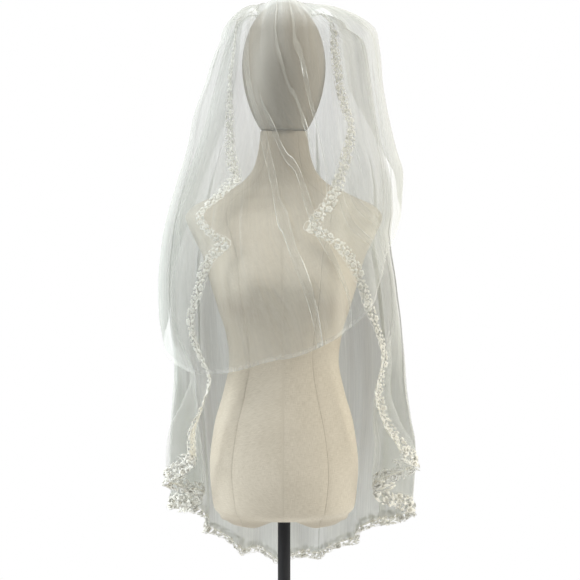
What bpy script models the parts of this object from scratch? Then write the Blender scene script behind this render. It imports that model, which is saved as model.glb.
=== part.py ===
"""Two-tier bridal veil on a limbless dress form with an egg-shaped head.

Metres, +Z up. The front looks towards -Y and +X is the viewer's right. The origin is the
centre of the base plate's underside. Both tiers of tulle are gathered on a comb at the back
of the crown: the long tier falls behind and comes forward over the shoulders, and the
blusher falls in front of the face. A floral lace trim borders the long tier.
"""
import math
from typing import NamedTuple

import bmesh
import bpy
import numpy as np

GAP = 0.0003              # clearance between pieces that touch
SEAM = 0.0008             # clearance along the seam between tulle and lace

# Stand
BASE_RADIUS = 0.160
BASE_THICKNESS = 0.010
COLLAR_RADIUS = 0.021
COLLAR_TOP = 0.048
SOCKET_FLOOR = 0.006
POLE_RADIUS = 0.0125

# Dress form
CROTCH_HEIGHT = 0.652     # underside of the torso over the pole
LOBE_DROP = 0.016         # how far each side of the underside hangs below that
NECK_TOP = 1.404
HEAD_CENTRE = (0.0, -0.005, 1.525)
HEAD_HALF = (0.080, 0.095, 0.123)
HEAD_DROP = 0.150         # half height of the egg's lower half, which the neck cuts off
CHIN_TAPER = 0.12         # share by which the egg narrows at its lower end

# Comb and gathering band, across the back of the crown
COMB_HALF = 0.042
COMB_DEPTH = 0.046        # how far behind the crown's centre the comb lies
COMB_BOW = 0.010          # how much further back its middle lies
COMB_WALL = 0.0014
COMB_CLEAR = 0.0006       # clearance of the comb over the head
TOOTH_COUNT = 13
TOOTH_LENGTH = 0.032
BAND_RADIUS = 0.0060
BAND_SHARE = 0.86         # share of the comb's length that the band covers

# Cloth
TULLE_WALL = 0.0012
LACE_WALL = 0.0014
LACE_WIDTH = 0.027
LACE_REPEAT = 0.030       # length of one flower and one gap
LACE_LINES = (0.0, 0.36, 0.64, 1.0)   # lines along the lace, as shares of its width
LACE_MOST = 0.038         # widest share of the cloth across that the lace may take
LEAST_SLANT = 0.35        # least sine of the angle at which threads are taken to meet an edge
LEAST_OPEN = 0.70         # share of the full width under which the gaps are closed
GAP_SHARE = 0.30          # share of a repeat that is the gap
SCALLOP = 0.28            # share of the outer row by which the edge dips between flowers
CAP_SHARE = 0.16          # share of the fall from the comb to the brow
HEAD_CLEAR = 0.0085       # how near the cloth's middle comes to the crown it rests on
HEAD_BLEND = 0.0040       # how softly it settles there


class Section(NamedTuple):
    """Cross-section of the torso: half width, and reach to the front and back."""
    height: float
    half: float
    front: float
    back: float
    squareness: float


class Ring(NamedTuple):
    """Plan outline of a tier at one height: its sides, and its far end away from the opening."""
    height: float
    left: float
    right: float
    side: float
    far: float


class Edge(NamedTuple):
    """Where a tier's free edge passes at one height."""
    height: float
    across: float
    depth: float


class Hem(NamedTuple):
    """Height of the hem at one place across the cloth."""
    place: float
    height: float


class Fold(NamedTuple):
    """One soft fold: its place, half width and depth, and the heights where it starts and is full."""
    place: float
    half: float
    depth: float
    top: float
    full: float


class Gather(NamedTuple):
    """The gathered edge over the band: its turn back round the band, depth, spread and lift."""
    turn: float
    centre: float
    reach: float
    lift: float
    end_lift: float


class Rise(NamedTuple):
    """How far the cloth puffs up between the comb and the brow at one place across."""
    place: float
    height: float


TORSO_SECTIONS = (
    Section(0.652, 0.125, -0.064, 0.075, 2.0),
    Section(0.668, 0.138, -0.083, 0.094, 2.1),
    Section(0.700, 0.143, -0.092, 0.104, 2.1),
    Section(0.750, 0.146, -0.098, 0.110, 2.1),
    Section(0.830, 0.137, -0.096, 0.098, 2.1),
    Section(0.900, 0.118, -0.086, 0.080, 2.1),
    Section(0.960, 0.107, -0.080, 0.070, 2.1),
    Section(1.010, 0.113, -0.086, 0.074, 2.1),
    Section(1.060, 0.128, -0.098, 0.084, 2.2),
    Section(1.110, 0.143, -0.108, 0.092, 2.2),
    Section(1.160, 0.157, -0.104, 0.096, 2.2),
    Section(1.205, 0.178, -0.090, 0.096, 2.3),
    Section(1.238, 0.191, -0.076, 0.090, 2.3),
    Section(1.256, 0.180, -0.068, 0.084, 2.2),
    Section(1.280, 0.132, -0.060, 0.076, 2.1),
    Section(1.305, 0.082, -0.052, 0.066, 2.0),
    Section(1.335, 0.058, -0.047, 0.058, 2.0),
    Section(1.375, 0.048, -0.044, 0.052, 2.0),
    Section(1.404, 0.045, -0.043, 0.048, 2.0),
)
BUST_HEIGHT = 1.112
BUST_SPREAD = 0.074
BUST_REACH = 0.026
BUST_RADIUS = 0.062

LONG_RINGS = (
    Ring(1.605, -0.092, 0.118, 0.030, 0.112),
    Ring(1.580, -0.105, 0.152, 0.032, 0.122),
    Ring(1.500, -0.130, 0.168, 0.034, 0.142),
    Ring(1.400, -0.160, 0.186, 0.036, 0.160),
    Ring(1.330, -0.186, 0.205, 0.036, 0.168),
    Ring(1.290, -0.199, 0.212, 0.034, 0.170),
    Ring(1.250, -0.209, 0.214, 0.032, 0.170),
    Ring(1.200, -0.218, 0.209, 0.030, 0.168),
    Ring(1.110, -0.228, 0.216, 0.028, 0.166),
    Ring(1.020, -0.224, 0.222, 0.028, 0.166),
    Ring(0.915, -0.214, 0.227, 0.028, 0.168),
    Ring(0.800, -0.206, 0.228, 0.028, 0.172),
    Ring(0.650, -0.200, 0.220, 0.028, 0.178),
    Ring(0.480, -0.200, 0.216, 0.028, 0.184),
)
LONG_LEFT = (
    Edge(1.605, -0.089, -0.008),
    Edge(1.560, -0.091, -0.025),
    Edge(1.490, -0.097, -0.035),
    Edge(1.426, -0.093, -0.042),
    Edge(1.366, -0.090, -0.047),
    Edge(1.312, -0.078, -0.060),
    Edge(1.275, -0.112, -0.078),
    Edge(1.241, -0.148, -0.092),
    Edge(1.212, -0.126, -0.104),
    Edge(1.194, -0.094, -0.112),
    Edge(1.152, -0.130, -0.113),
    Edge(1.093, -0.150, -0.112),
    Edge(1.045, -0.165, -0.108),
    Edge(0.988, -0.151, -0.108),
    Edge(0.938, -0.134, -0.102),
    Edge(0.885, -0.153, -0.099),
    Edge(0.827, -0.181, -0.096),
    Edge(0.780, -0.184, -0.093),
    Edge(0.480, -0.184, -0.093),
)
LONG_RIGHT = (
    Edge(1.605, 0.086, -0.008),
    Edge(1.560, 0.087, -0.020),
    Edge(1.490, 0.094, -0.036),
    Edge(1.441, 0.106, -0.046),
    Edge(1.402, 0.117, -0.056),
    Edge(1.361, 0.106, -0.062),
    Edge(1.312, 0.091, -0.066),
    Edge(1.275, 0.076, -0.080),
    Edge(1.241, 0.050, -0.098),
    Edge(1.216, 0.034, -0.110),
    Edge(1.194, 0.078, -0.116),
    Edge(1.152, 0.114, -0.117),
    Edge(1.109, 0.135, -0.115),
    Edge(1.075, 0.146, -0.111),
    Edge(1.011, 0.173, -0.104),
    Edge(0.973, 0.180, -0.106),
    Edge(0.905, 0.169, -0.097),
    Edge(0.847, 0.186, -0.093),
    Edge(0.788, 0.220, -0.088),
    Edge(0.480, 0.220, -0.088),
)
LONG_HEM = (
    Hem(0.000, 0.780),
    Hem(0.035, 0.764),
    Hem(0.080, 0.722),
    Hem(0.125, 0.684),
    Hem(0.175, 0.660),
    Hem(0.215, 0.643),
    Hem(0.255, 0.602),
    Hem(0.300, 0.572),
    Hem(0.360, 0.540),
    Hem(0.430, 0.508),
    Hem(0.500, 0.493),
    Hem(0.570, 0.500),
    Hem(0.640, 0.525),
    Hem(0.690, 0.552),
    Hem(0.735, 0.582),
    Hem(0.780, 0.612),
    Hem(0.825, 0.640),
    Hem(0.880, 0.690),
    Hem(0.950, 0.758),
    Hem(1.000, 0.786),
)
LONG_FOLDS = (
    Fold(0.035, 0.045, -0.022, 1.000, 0.790),
    Fold(0.082, 0.045, 0.036, 1.000, 0.760),
    Fold(0.128, 0.042, -0.040, 1.100, 0.740),
    Fold(0.175, 0.042, 0.026, 1.000, 0.720),
    Fold(0.217, 0.040, -0.030, 1.150, 0.700),
    Fold(0.258, 0.042, 0.018, 1.150, 0.680),
    Fold(0.300, 0.042, -0.020, 1.250, 0.700),
    Fold(0.345, 0.045, 0.022, 1.350, 0.650),
    Fold(0.395, 0.045, -0.018, 1.350, 0.700),
    Fold(0.440, 0.042, 0.016, 1.400, 0.650),
    Fold(0.482, 0.040, -0.018, 1.350, 0.650),
    Fold(0.525, 0.044, 0.020, 1.400, 0.650),
    Fold(0.570, 0.044, -0.017, 1.350, 0.650),
    Fold(0.615, 0.044, 0.018, 1.400, 0.650),
    Fold(0.660, 0.042, -0.020, 1.350, 0.700),
    Fold(0.705, 0.042, 0.016, 1.250, 0.680),
    Fold(0.745, 0.040, -0.020, 1.250, 0.700),
    Fold(0.790, 0.042, 0.008, 1.150, 0.700),
    Fold(0.832, 0.045, 0.034, 1.100, 0.720),
    Fold(0.885, 0.048, -0.050, 1.150, 0.740),
    Fold(0.945, 0.045, 0.030, 1.050, 0.790),
)
LONG_GATHER = Gather(math.radians(50), 0.055, 0.014, 0.002, 0.004)
LONG_RISES = (
    Rise(0.00, 0.004),
    Rise(0.50, 0.004),
    Rise(0.80, 0.007),
    Rise(1.00, 0.004),
)
# Heights of the rows of the long tier, read at its left edge
LONG_ROWS = (1.605, 1.555, 1.480, 1.405, 1.360, 1.312, 1.275, 1.241, 1.214, 1.194, 1.152,
             1.095, 1.045, 0.988, 0.940, 0.885, 0.830, 0.780)
LONG_CAP_ROWS = 4
LONG_COLUMNS = 62
STRAIGHT_TOP = 1.060      # height under which the corners begin to straighten
STRAIGHT_FADE = 0.140     # drop over which they become straight
LONG_FLUTES = 13
FLUTE_DEPTH = 0.0042
GATHER_WRAP = math.radians(30)   # how far the gathered edge turns round the band's ends
FLUTE_INLAND = 0.22       # share of the cloth at each free edge over which they die out
FLUTE_FADE = 0.260        # fall below the brow over which the flutes die out

BLUSHER_RINGS = (
    Ring(1.580, -0.118, 0.178, 0.034, -0.114),
    Ring(1.545, -0.134, 0.184, 0.036, -0.118),
    Ring(1.500, -0.149, 0.189, 0.038, -0.122),
    Ring(1.430, -0.175, 0.201, 0.038, -0.126),
    Ring(1.370, -0.190, 0.217, 0.038, -0.128),
    Ring(1.320, -0.206, 0.229, 0.036, -0.132),
    Ring(1.270, -0.221, 0.231, 0.034, -0.138),
    Ring(1.200, -0.238, 0.227, 0.032, -0.152),
    Ring(1.110, -0.250, 0.226, 0.030, -0.162),
    Ring(1.050, -0.251, 0.226, 0.028, -0.160),
    Ring(1.000, -0.242, 0.224, 0.026, -0.154),
    Ring(0.930, -0.218, 0.218, 0.024, -0.138),
)
BLUSHER_LEFT = (
    Edge(1.580, -0.088, 0.094),
    Edge(1.480, -0.104, 0.132),
    Edge(1.300, -0.150, 0.150),
    Edge(0.930, -0.200, 0.130),
)
BLUSHER_RIGHT = (
    Edge(1.580, 0.118, 0.108),
    Edge(1.480, 0.134, 0.134),
    Edge(1.300, 0.165, 0.150),
    Edge(0.930, 0.200, 0.130),
)
BLUSHER_HEM = (
    Hem(0.000, 1.480),
    Hem(0.030, 1.370),
    Hem(0.070, 1.220),
    Hem(0.120, 1.100),
    Hem(0.170, 1.040),
    Hem(0.205, 1.012),
    Hem(0.270, 0.968),
    Hem(0.340, 0.952),
    Hem(0.400, 0.950),
    Hem(0.445, 0.972),
    Hem(0.500, 0.990),
    Hem(0.560, 0.988),
    Hem(0.600, 1.012),
    Hem(0.640, 1.055),
    Hem(0.685, 1.130),
    Hem(0.730, 1.195),
    Hem(0.780, 1.262),
    Hem(0.820, 1.295),
    Hem(0.880, 1.360),
    Hem(0.940, 1.430),
    Hem(1.000, 1.500),
)
BLUSHER_FOLDS = (
    Fold(0.100, 0.050, 0.008, 1.450, 1.150),
    Fold(0.160, 0.050, -0.006, 1.450, 1.150),
    Fold(0.240, 0.060, 0.006, 1.400, 1.100),
    Fold(0.360, 0.035, 0.008, 1.250, 0.970),
    Fold(0.420, 0.030, -0.006, 1.200, 0.970),
    Fold(0.555, 0.025, 0.010, 1.560, 1.050),
    Fold(0.590, 0.025, -0.006, 1.500, 1.050),
    Fold(0.630, 0.030, 0.008, 1.500, 1.150),
    Fold(0.700, 0.035, -0.006, 1.450, 1.200),
    Fold(0.760, 0.040, 0.008, 1.500, 1.300),
)
BLUSHER_GATHER = Gather(math.radians(-45), 0.064, 0.009, -0.0048, 0.0170)
BLUSHER_RISES = (
    Rise(0.00, 0.018),
    Rise(0.20, 0.020),
    Rise(0.50, 0.006),
    Rise(0.80, 0.024),
    Rise(1.00, 0.018),
)
BLUSHER_COLUMNS = 44
BLUSHER_ROWS = 10
BLUSHER_CAP_ROWS = 6
BLUSHER_FLUTES = 11

TULLE = ("ivory_tulle", (0.84, 0.84, 0.80, 1.0), 0.75, 0.0)
LACE = ("cream_lace", (0.88, 0.84, 0.74, 1.0), 0.85, 0.0)
LINEN = ("beige_linen", (0.72, 0.68, 0.60, 1.0), 0.90, 0.0)
SATIN = ("ivory_satin", (0.86, 0.83, 0.76, 1.0), 0.50, 0.0)
STEEL = ("black_steel", (0.02, 0.02, 0.022, 1.0), 0.40, 0.6)
PLASTIC = ("comb_plastic", (0.80, 0.79, 0.76, 1.0), 0.30, 0.0)


def material(finish):
    """Return the Principled material of a finish, made once."""
    name, colour, roughness, metallic = finish
    found = bpy.data.materials.get(name)
    if found:
        return found
    made = bpy.data.materials.new(name)
    made.use_nodes = True
    shader = made.node_tree.nodes["Principled BSDF"]
    shader.inputs["Base Color"].default_value = colour
    shader.inputs["Roughness"].default_value = roughness
    shader.inputs["Metallic"].default_value = metallic
    return made


def add_object(name, mesh, finish):
    """Link a mesh or curve as a named object with its finish."""
    piece = bpy.data.objects.new(name, mesh)
    bpy.data.collections["bridal_veil"].objects.link(piece)
    piece.data.materials.append(material(finish))
    if isinstance(mesh, bpy.types.Mesh):
        mesh.shade_smooth()
    return piece


def add_sheet(name, points, normals, finish, wall, kept=None):
    """Make a wall of cloth on a grid of points, leaving out the cells that are not kept.

    The wall's two faces lie half its thickness to each side of the points, along the
    surface's own normals, so neighbouring sheets keep the clearance of their points.
    """
    rows, columns = points.shape[:2]
    index = np.arange(rows * columns).reshape(rows, columns)
    cells = np.stack((index[:-1, :-1], index[:-1, 1:], index[1:, 1:], index[1:, :-1]), -1)
    cells = cells.reshape(-1, 4) if kept is None else cells[kept]
    used, cells = np.unique(cells, return_inverse=True)
    cells = cells.reshape(-1, 4)
    count = len(used)
    middle = points.reshape(-1, 3)[used]
    shift = normals.reshape(-1, 3)[used] * wall / 2
    starts = cells.ravel()
    ends = np.roll(cells, -1, axis=1).ravel()
    shared = np.isin(ends * count + starts, starts * count + ends)
    starts, ends = starts[~shared], ends[~shared]
    rim = np.stack((ends, starts, starts + count, ends + count), -1)
    first = np.linalg.norm(middle[cells[:, 0]] - middle[cells[:, 2]], axis=-1)
    second = np.linalg.norm(middle[cells[:, 1]] - middle[cells[:, 3]], axis=-1)
    cells = np.where((first <= second)[:, None], cells, np.roll(cells, -1, axis=1))
    halves = np.concatenate((cells[:, (0, 1, 2)], cells[:, (0, 2, 3)]))
    faces = halves.tolist() + (halves[:, ::-1] + count).tolist() + rim.tolist()
    mesh = bpy.data.meshes.new(name)
    corners = np.concatenate((middle + shift, middle - shift))
    mesh.from_pydata(corners.tolist(), [], faces)
    shell = bmesh.new()
    shell.from_mesh(mesh)
    bmesh.ops.recalc_face_normals(shell, faces=shell.faces[:])
    shell.to_mesh(mesh)
    shell.free()
    return add_object(name, mesh, finish)


def column(rows, name):
    """Return one named column of a table as an array."""
    return np.array([getattr(row, name) for row in rows])


def follow(rows, name, at, key="height"):
    """Read a column as a smooth curve that never overshoots its rows (monotone cubic)."""
    knots = column(rows, key)
    values = column(rows, name)
    if knots[0] > knots[-1]:
        knots = knots[::-1]
        values = values[::-1]
    steps = np.diff(knots)
    slopes = np.diff(values) / steps
    turns = np.concatenate((slopes[:1], np.zeros(len(slopes) - 1), slopes[-1:]))
    for i in range(1, len(slopes)):
        before, after = slopes[i - 1], slopes[i]
        if before * after > 0:
            heavy = 2 * steps[i] + steps[i - 1]
            light = steps[i] + 2 * steps[i - 1]
            turns[i] = (heavy + light) / (heavy / before + light / after)
    place = np.clip(at, knots[0], knots[-1])
    cell = np.clip(np.searchsorted(knots, place, side="right") - 1, 0, len(steps) - 1)
    t = (place - knots[cell]) / steps[cell]
    return ((1 + 2 * t) * (1 - t) ** 2 * values[cell]
            + t * (1 - t) ** 2 * steps[cell] * turns[cell]
            + t * t * (3 - 2 * t) * values[cell + 1]
            + t * t * (t - 1) * steps[cell] * turns[cell + 1])


def ease(t):
    """Smooth step from 0 to 1."""
    t = np.clip(t, 0.0, 1.0)
    return t * t * (3 - 2 * t)


def crown_height(x, y):
    """Height of the head's upper surface over a plan point."""
    inside = 1 - ((x - HEAD_CENTRE[0]) / HEAD_HALF[0]) ** 2 - ((y - HEAD_CENTRE[1]) / HEAD_HALF[1]) ** 2
    return HEAD_CENTRE[2] + HEAD_HALF[2] * np.sqrt(np.maximum(inside, 0.0))


def comb_line(across):
    """Points along the comb on the crown, for places from -1 at its left end to 1."""
    x = COMB_HALF * across
    y = COMB_DEPTH + COMB_BOW * (1 - across ** 2)
    return np.stack((x, y, crown_height(x, y)), -1)


def band_line(across, turn, away):
    """Points at a distance round the band's centre line, turned back from the head's normal."""
    foot = comb_line(across)
    normal = (foot - np.array(HEAD_CENTRE)) / np.array(HEAD_HALF) ** 2
    normal = normal / np.linalg.norm(normal, axis=-1, keepdims=True)
    rearward = np.stack((np.zeros_like(across), normal[..., 2], -normal[..., 1]), -1)
    rearward = rearward / np.linalg.norm(rearward, axis=-1, keepdims=True)
    lift = COMB_CLEAR + COMB_WALL + 2 * GAP + BAND_RADIUS
    return foot + normal * (lift + away * math.cos(turn)) + rearward * away * math.sin(turn)


class Tier:
    """A tier of tulle, gathered on the band and hanging to its hem.

    A point on it has a place across, from 0 at the left free edge to 1 at the right, and a
    fall, from 0 at the band to 1 at the hem. At each height the plan outline is a quarter
    ellipse from the left edge to the side, half a superellipse round the far end, and a
    quarter ellipse to the right edge. Low down, where the corners hang in folds, the quarter
    ellipses give way to straight lines. Between the band and the brow the cloth follows a
    quarter ellipse in height, and rests on the crown where it would pass through it.
    """

    corner = 0.2           # share of the cloth from a free edge to the side
    seat = BAND_RADIUS + TULLE_WALL / 2 + 2 * GAP

    def __init__(self, rings, left, right, hem, folds, rises, flutes, facing, squareness, gather):
        self.rings = rings
        self.left = left
        self.right = right
        self.hem = hem
        self.folds = folds
        self.rises = rises
        self.flutes = flutes
        self.facing = facing              # 1 when the far end is behind, -1 in front
        self.squareness = squareness      # power of the far end's superellipse
        self.gather = gather
        self.brow = rings[0].height

    def plan(self, place, height):
        """Plan position of the smooth cloth, before folds."""
        left = follow(self.rings, "left", height)
        right = follow(self.rings, "right", height)
        side = follow(self.rings, "side", height)
        far = follow(self.rings, "far", height)
        round_far = np.clip((place - self.corner) / (1 - 2 * self.corner), 0, 1) * math.pi
        power = 2 / self.squareness
        swing = np.sign(np.cos(round_far)) * np.abs(np.cos(round_far)) ** power
        x = (left + right) / 2 - (right - left) / 2 * swing
        y = side + (far - side) * np.maximum(np.sin(round_far), 0.0) ** power
        straight = ease((STRAIGHT_TOP - height) / STRAIGHT_FADE)
        for edge, reach, share in ((self.left, left, place), (self.right, right, 1 - place)):
            along = np.clip(share / self.corner, 0, 1)
            out = np.sin(along * math.pi / 2) * (1 - straight) + along * straight
            fore = np.cos(along * math.pi / 2) * (1 - straight) + (1 - along) * straight
            edge_x = follow(edge, "across", height)
            edge_y = follow(edge, "depth", height)
            at_edge = share < self.corner
            x = np.where(at_edge, edge_x + (reach - edge_x) * out, x)
            y = np.where(at_edge, side + (edge_y - side) * fore, y)
        return x, y

    def outward(self, place, height):
        """Unit plan normal that points away from the wearer."""
        step = 0.001
        ahead_x, ahead_y = self.plan(np.minimum(place + step, 1), height)
        back_x, back_y = self.plan(np.maximum(place - step, 0), height)
        along_x = ahead_x - back_x
        along_y = ahead_y - back_y
        size = np.hypot(along_x, along_y) + 1e-9
        return -along_y / size * self.facing, along_x / size * self.facing

    def flute(self, place, fade):
        """Depth of the gathers that run down from the band."""
        inland = ease(np.minimum(place, 1 - place) / FLUTE_INLAND)
        return FLUTE_DEPTH * fade * inland * np.sin(2 * math.pi * self.flutes * place)

    def skirt(self, place, height):
        """Plan position of the hanging cloth with its folds."""
        x, y = self.plan(place, height)
        normal_x, normal_y = self.outward(place, height)
        depth = self.flute(place, 1 - ease((self.brow - height) / FLUTE_FADE))
        for fold in self.folds:
            away = np.abs(place - fold.place) / fold.half
            bell = np.where(away < 1, np.cos(away * math.pi / 2) ** 2, 0.0)
            depth = depth + fold.depth * bell * ease((fold.top - height) / (fold.top - fold.full))
        return x + normal_x * depth, y + normal_y * depth

    def gathered(self, place):
        """Positions of the gathered edge, which wraps round the ends of the band."""
        swing = GATHER_WRAP * (2 * place - 1) + math.pi * place
        along = -np.cos(swing)
        start = band_line(along, self.gather.turn, self.seat)
        start[..., 1] = self.gather.centre + self.facing * self.gather.reach * np.sin(swing)
        start[..., 2] = start[..., 2] + self.gather.lift + self.gather.end_lift * along ** 2
        return start

    def point(self, place, fall):
        """Positions on the tier for arrays of places and falls."""
        place, fall = np.broadcast_arrays(np.asarray(place, float), np.asarray(fall, float))
        cap = np.clip(fall / CAP_SHARE, 0, 1)
        down = np.clip((fall - CAP_SHARE) / (1 - CAP_SHARE), 0, 1)
        hem = follow(self.hem, "height", place, key="place")
        height = self.brow + (hem - self.brow) * down
        x, y = self.skirt(place, height)
        brow = np.full_like(height, self.brow)
        brow_x, brow_y = self.plan(place, brow)
        normal_x, normal_y = self.outward(place, brow)
        start = self.gathered(place)
        out = np.sin(cap * math.pi / 2)
        up = np.cos(cap * math.pi / 2)
        flute = self.flute(place, ease(cap * 1.2))
        rise = follow(self.rises, "height", place, key="place") * np.sin(cap * math.pi)
        cap_x = start[..., 0] + (brow_x - start[..., 0]) * out + normal_x * flute * out
        cap_y = start[..., 1] + (brow_y - start[..., 1]) * out + normal_y * flute * out
        cap_z = self.brow + (start[..., 2] - self.brow) * up + rise + flute * up
        over = cap_z - crown_height(cap_x, cap_y) - HEAD_CLEAR
        resting = (np.sqrt(over ** 2 + HEAD_BLEND ** 2) - over) / 2
        cap_z = cap_z + resting * ease(cap * 8)
        in_cap = fall < CAP_SHARE
        return np.stack((np.where(in_cap, cap_x, x), np.where(in_cap, cap_y, y),
                         np.where(in_cap, cap_z, height)), -1)


LONG = Tier(LONG_RINGS, LONG_LEFT, LONG_RIGHT, LONG_HEM, LONG_FOLDS, LONG_RISES,
            LONG_FLUTES, 1, 2.0, LONG_GATHER)
BLUSHER = Tier(BLUSHER_RINGS, BLUSHER_LEFT, BLUSHER_RIGHT, BLUSHER_HEM, BLUSHER_FOLDS,
               BLUSHER_RISES, BLUSHER_FLUTES, -1, 2.8, BLUSHER_GATHER)


def grid_normals(points):
    """Unit normals of a grid of points, square to its rows and columns at each point."""
    across = np.concatenate((points[:, 1:2] - points[:, :1], points[:, 2:] - points[:, :-2],
                             points[:, -1:] - points[:, -2:-1]), axis=1)
    down = np.concatenate((points[1:2] - points[:1], points[2:] - points[:-2],
                           points[-1:] - points[-2:-1]))
    normals = np.cross(across, down)
    return normals / np.linalg.norm(normals, axis=-1, keepdims=True)


def side_share(fall, right):
    """Share of the cloth across a free edge that the lace takes, measured square to the edge."""
    step = 0.004
    place = np.full_like(fall, 1.0 if right else 0.0)
    inner = place - step if right else place + step
    across = (LONG.point(inner, fall) - LONG.point(place, fall)) / step
    along = LONG.point(place, fall + step) - LONG.point(place, fall - step)
    along = along / np.linalg.norm(along, axis=-1, keepdims=True)
    square = across - along * np.sum(across * along, axis=-1, keepdims=True)
    slanted = LEAST_SLANT * np.linalg.norm(across, axis=-1)
    spans = np.maximum(np.linalg.norm(square, axis=-1), slanted)
    return np.minimum(LACE_WIDTH / spans, LACE_MOST)


def hem_share(place):
    """Share of the fall that the lace takes, for places along the hem."""
    drop = LONG.brow - follow(LONG.hem, "height", place, key="place")
    return LACE_WIDTH * (1 - CAP_SHARE) / drop


def long_falls():
    """Falls of the long tier's rows, as shares of the fall to the lace."""
    cap = np.linspace(0, CAP_SHARE, LONG_CAP_ROWS + 1)[:-1]
    heights = np.array(LONG_ROWS)
    down = (heights[0] - heights) / (heights[0] - heights[-1])
    return np.concatenate((cap, CAP_SHARE + (1 - CAP_SHARE) * down))


def long_grid():
    """Points and normals of the whole long tier, tulle and lace together.

    The tulle's rows and columns fill the middle. Three more lines along each free edge and
    along the hem carry the lace, whose inner line is the tulle's outermost line.
    """
    across, down = np.meshgrid(np.linspace(0, 1, LONG_COLUMNS + 1), long_falls())
    fall = down
    for _ in range(8):
        left = side_share(fall, False)
        right = side_share(fall, True)
        place = left + across * (1 - right - left)
        fall = down * (1 - hem_share(place))
    outside = np.array(LACE_LINES[:-1])
    place = np.concatenate((place[:, :1] * outside, place, 1 - (1 - place[:, -1:]) * outside[::-1]), 1)
    repeated = np.ones(len(outside))
    fall = np.concatenate((fall[:, :1] * repeated, fall, fall[:, -1:] * repeated), 1)
    share = hem_share(place[-1])
    fall[-1] = 1 - share
    fall = np.concatenate((fall, 1 - share * outside[::-1, None]))
    place = np.concatenate((place, np.repeat(place[-1:], len(outside), 0)))
    points = LONG.point(place, fall)
    return points, grid_normals(points)


def draw_in(points, lines):
    """Move outermost lines of a grid of points inwards by the seam's clearance."""
    points = points.copy()
    for edge, inner in lines:
        step = points[inner] - points[edge]
        points[edge] = points[edge] + step * SEAM / np.linalg.norm(step, axis=-1, keepdims=True)
    return points


def add_lace_strip(name, points, normals):
    """Make a strip of lace through stations across it, divided into flowers and gaps.

    A station is a row of points from the outer edge to the inner line. Each stretch between
    two stations takes a whole number of repeats; a repeat is a flower and then a gap,
    whose middle cell is left out where the lace is wide enough for it to be open.
    """
    stations = np.concatenate((points, normals), -1)
    rows = []
    kept = []
    for start, end in zip(stations[:-1], stations[1:]):
        length = np.linalg.norm(end[1, :3] - start[1, :3])
        repeats = max(1, round(length / LACE_REPEAT))
        width = np.linalg.norm(start[0, :3] - start[-1, :3])
        for repeat in range(repeats):
            for share, is_gap in ((0.0, False), (1 - GAP_SHARE, True)):
                row = start + (end - start) * (repeat + share) / repeats
                if is_gap:
                    row[0] = row[0] + (row[1] - row[0]) * SCALLOP
                rows.append(row)
                hole = is_gap and width > LEAST_OPEN * LACE_WIDTH and length > LEAST_OPEN * LACE_REPEAT
                kept.append((True, not hole, True))
    rows.append(stations[-1])
    strip = np.array(rows)
    facing = strip[..., 3:] / np.linalg.norm(strip[..., 3:], axis=-1, keepdims=True)
    add_sheet(name, strip[..., :3], facing, LACE, LACE_WALL, np.array(kept))


def add_long_tier():
    """Make the long tier: its tulle, and the lace along both free edges and the hem."""
    points, normals = long_grid()
    lines = len(LACE_LINES) - 1
    tulle = draw_in(points[:-lines, lines:-lines],
                    ((np.s_[:, 0], np.s_[:, 1]), (np.s_[:, -1], np.s_[:, -2]), (np.s_[-1], np.s_[-2])))
    add_sheet("long_tier", tulle, normals[:-lines, lines:-lines], TULLE, TULLE_WALL)
    for name, columns in (("lace_left_edge", np.s_[:lines + 1]),
                          ("lace_right_edge", np.s_[:-lines - 2:-1])):
        edge = draw_in(points[:-lines, columns], ((np.s_[-1], np.s_[-2]),))
        add_lace_strip(name, edge, normals[:-lines, columns])
    hem = points[:-lines - 2:-1].transpose(1, 0, 2)
    add_lace_strip("lace_hem", hem, normals[:-lines - 2:-1].transpose(1, 0, 2))


def add_blusher():
    """Make the blusher, the short tier over the face, with a plain cut edge."""
    cap = np.linspace(0, CAP_SHARE, BLUSHER_CAP_ROWS + 1)[:-1]
    falls = np.concatenate((cap, np.linspace(CAP_SHARE, 1, BLUSHER_ROWS + 1)))
    across, down = np.meshgrid(np.linspace(0, 1, BLUSHER_COLUMNS + 1), falls)
    points = BLUSHER.point(across, down)
    add_sheet("blusher_tier", points, grid_normals(points), TULLE, TULLE_WALL)


def add_comb():
    """Make the comb: a strip on the crown whose teeth run down the back of the head."""
    columns = 2 * TOOTH_COUNT
    across = np.linspace(-1, 1, columns)
    down = np.array((-0.0035, 0.0035, 0.35 * TOOTH_LENGTH, 0.7 * TOOTH_LENGTH, TOOTH_LENGTH))
    line = comb_line(across)
    centre = np.array(HEAD_CENTRE)
    half = np.array(HEAD_HALF) + COMB_CLEAR + COMB_WALL / 2
    tilt = np.arctan2((line[:, 1] - centre[1]) / half[1], (line[:, 2] - centre[2]) / half[2])
    turn = tilt[None, :] + down[:, None] / half[1]
    x = np.broadcast_to(line[:, 0], turn.shape)
    narrow = np.sqrt(1 - (x / half[0]) ** 2)
    y = centre[1] + half[1] * narrow * np.sin(turn)
    z = centre[2] + half[2] * narrow * np.cos(turn)
    kept = np.ones((len(down) - 1, columns - 1), bool)
    kept[1:, 1::2] = False
    points = np.stack((x, y, z), -1)
    normals = (points - centre) / half ** 2
    normals = normals / np.linalg.norm(normals, axis=-1, keepdims=True)
    add_sheet("comb", points, normals, PLASTIC, COMB_WALL, kept)


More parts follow.
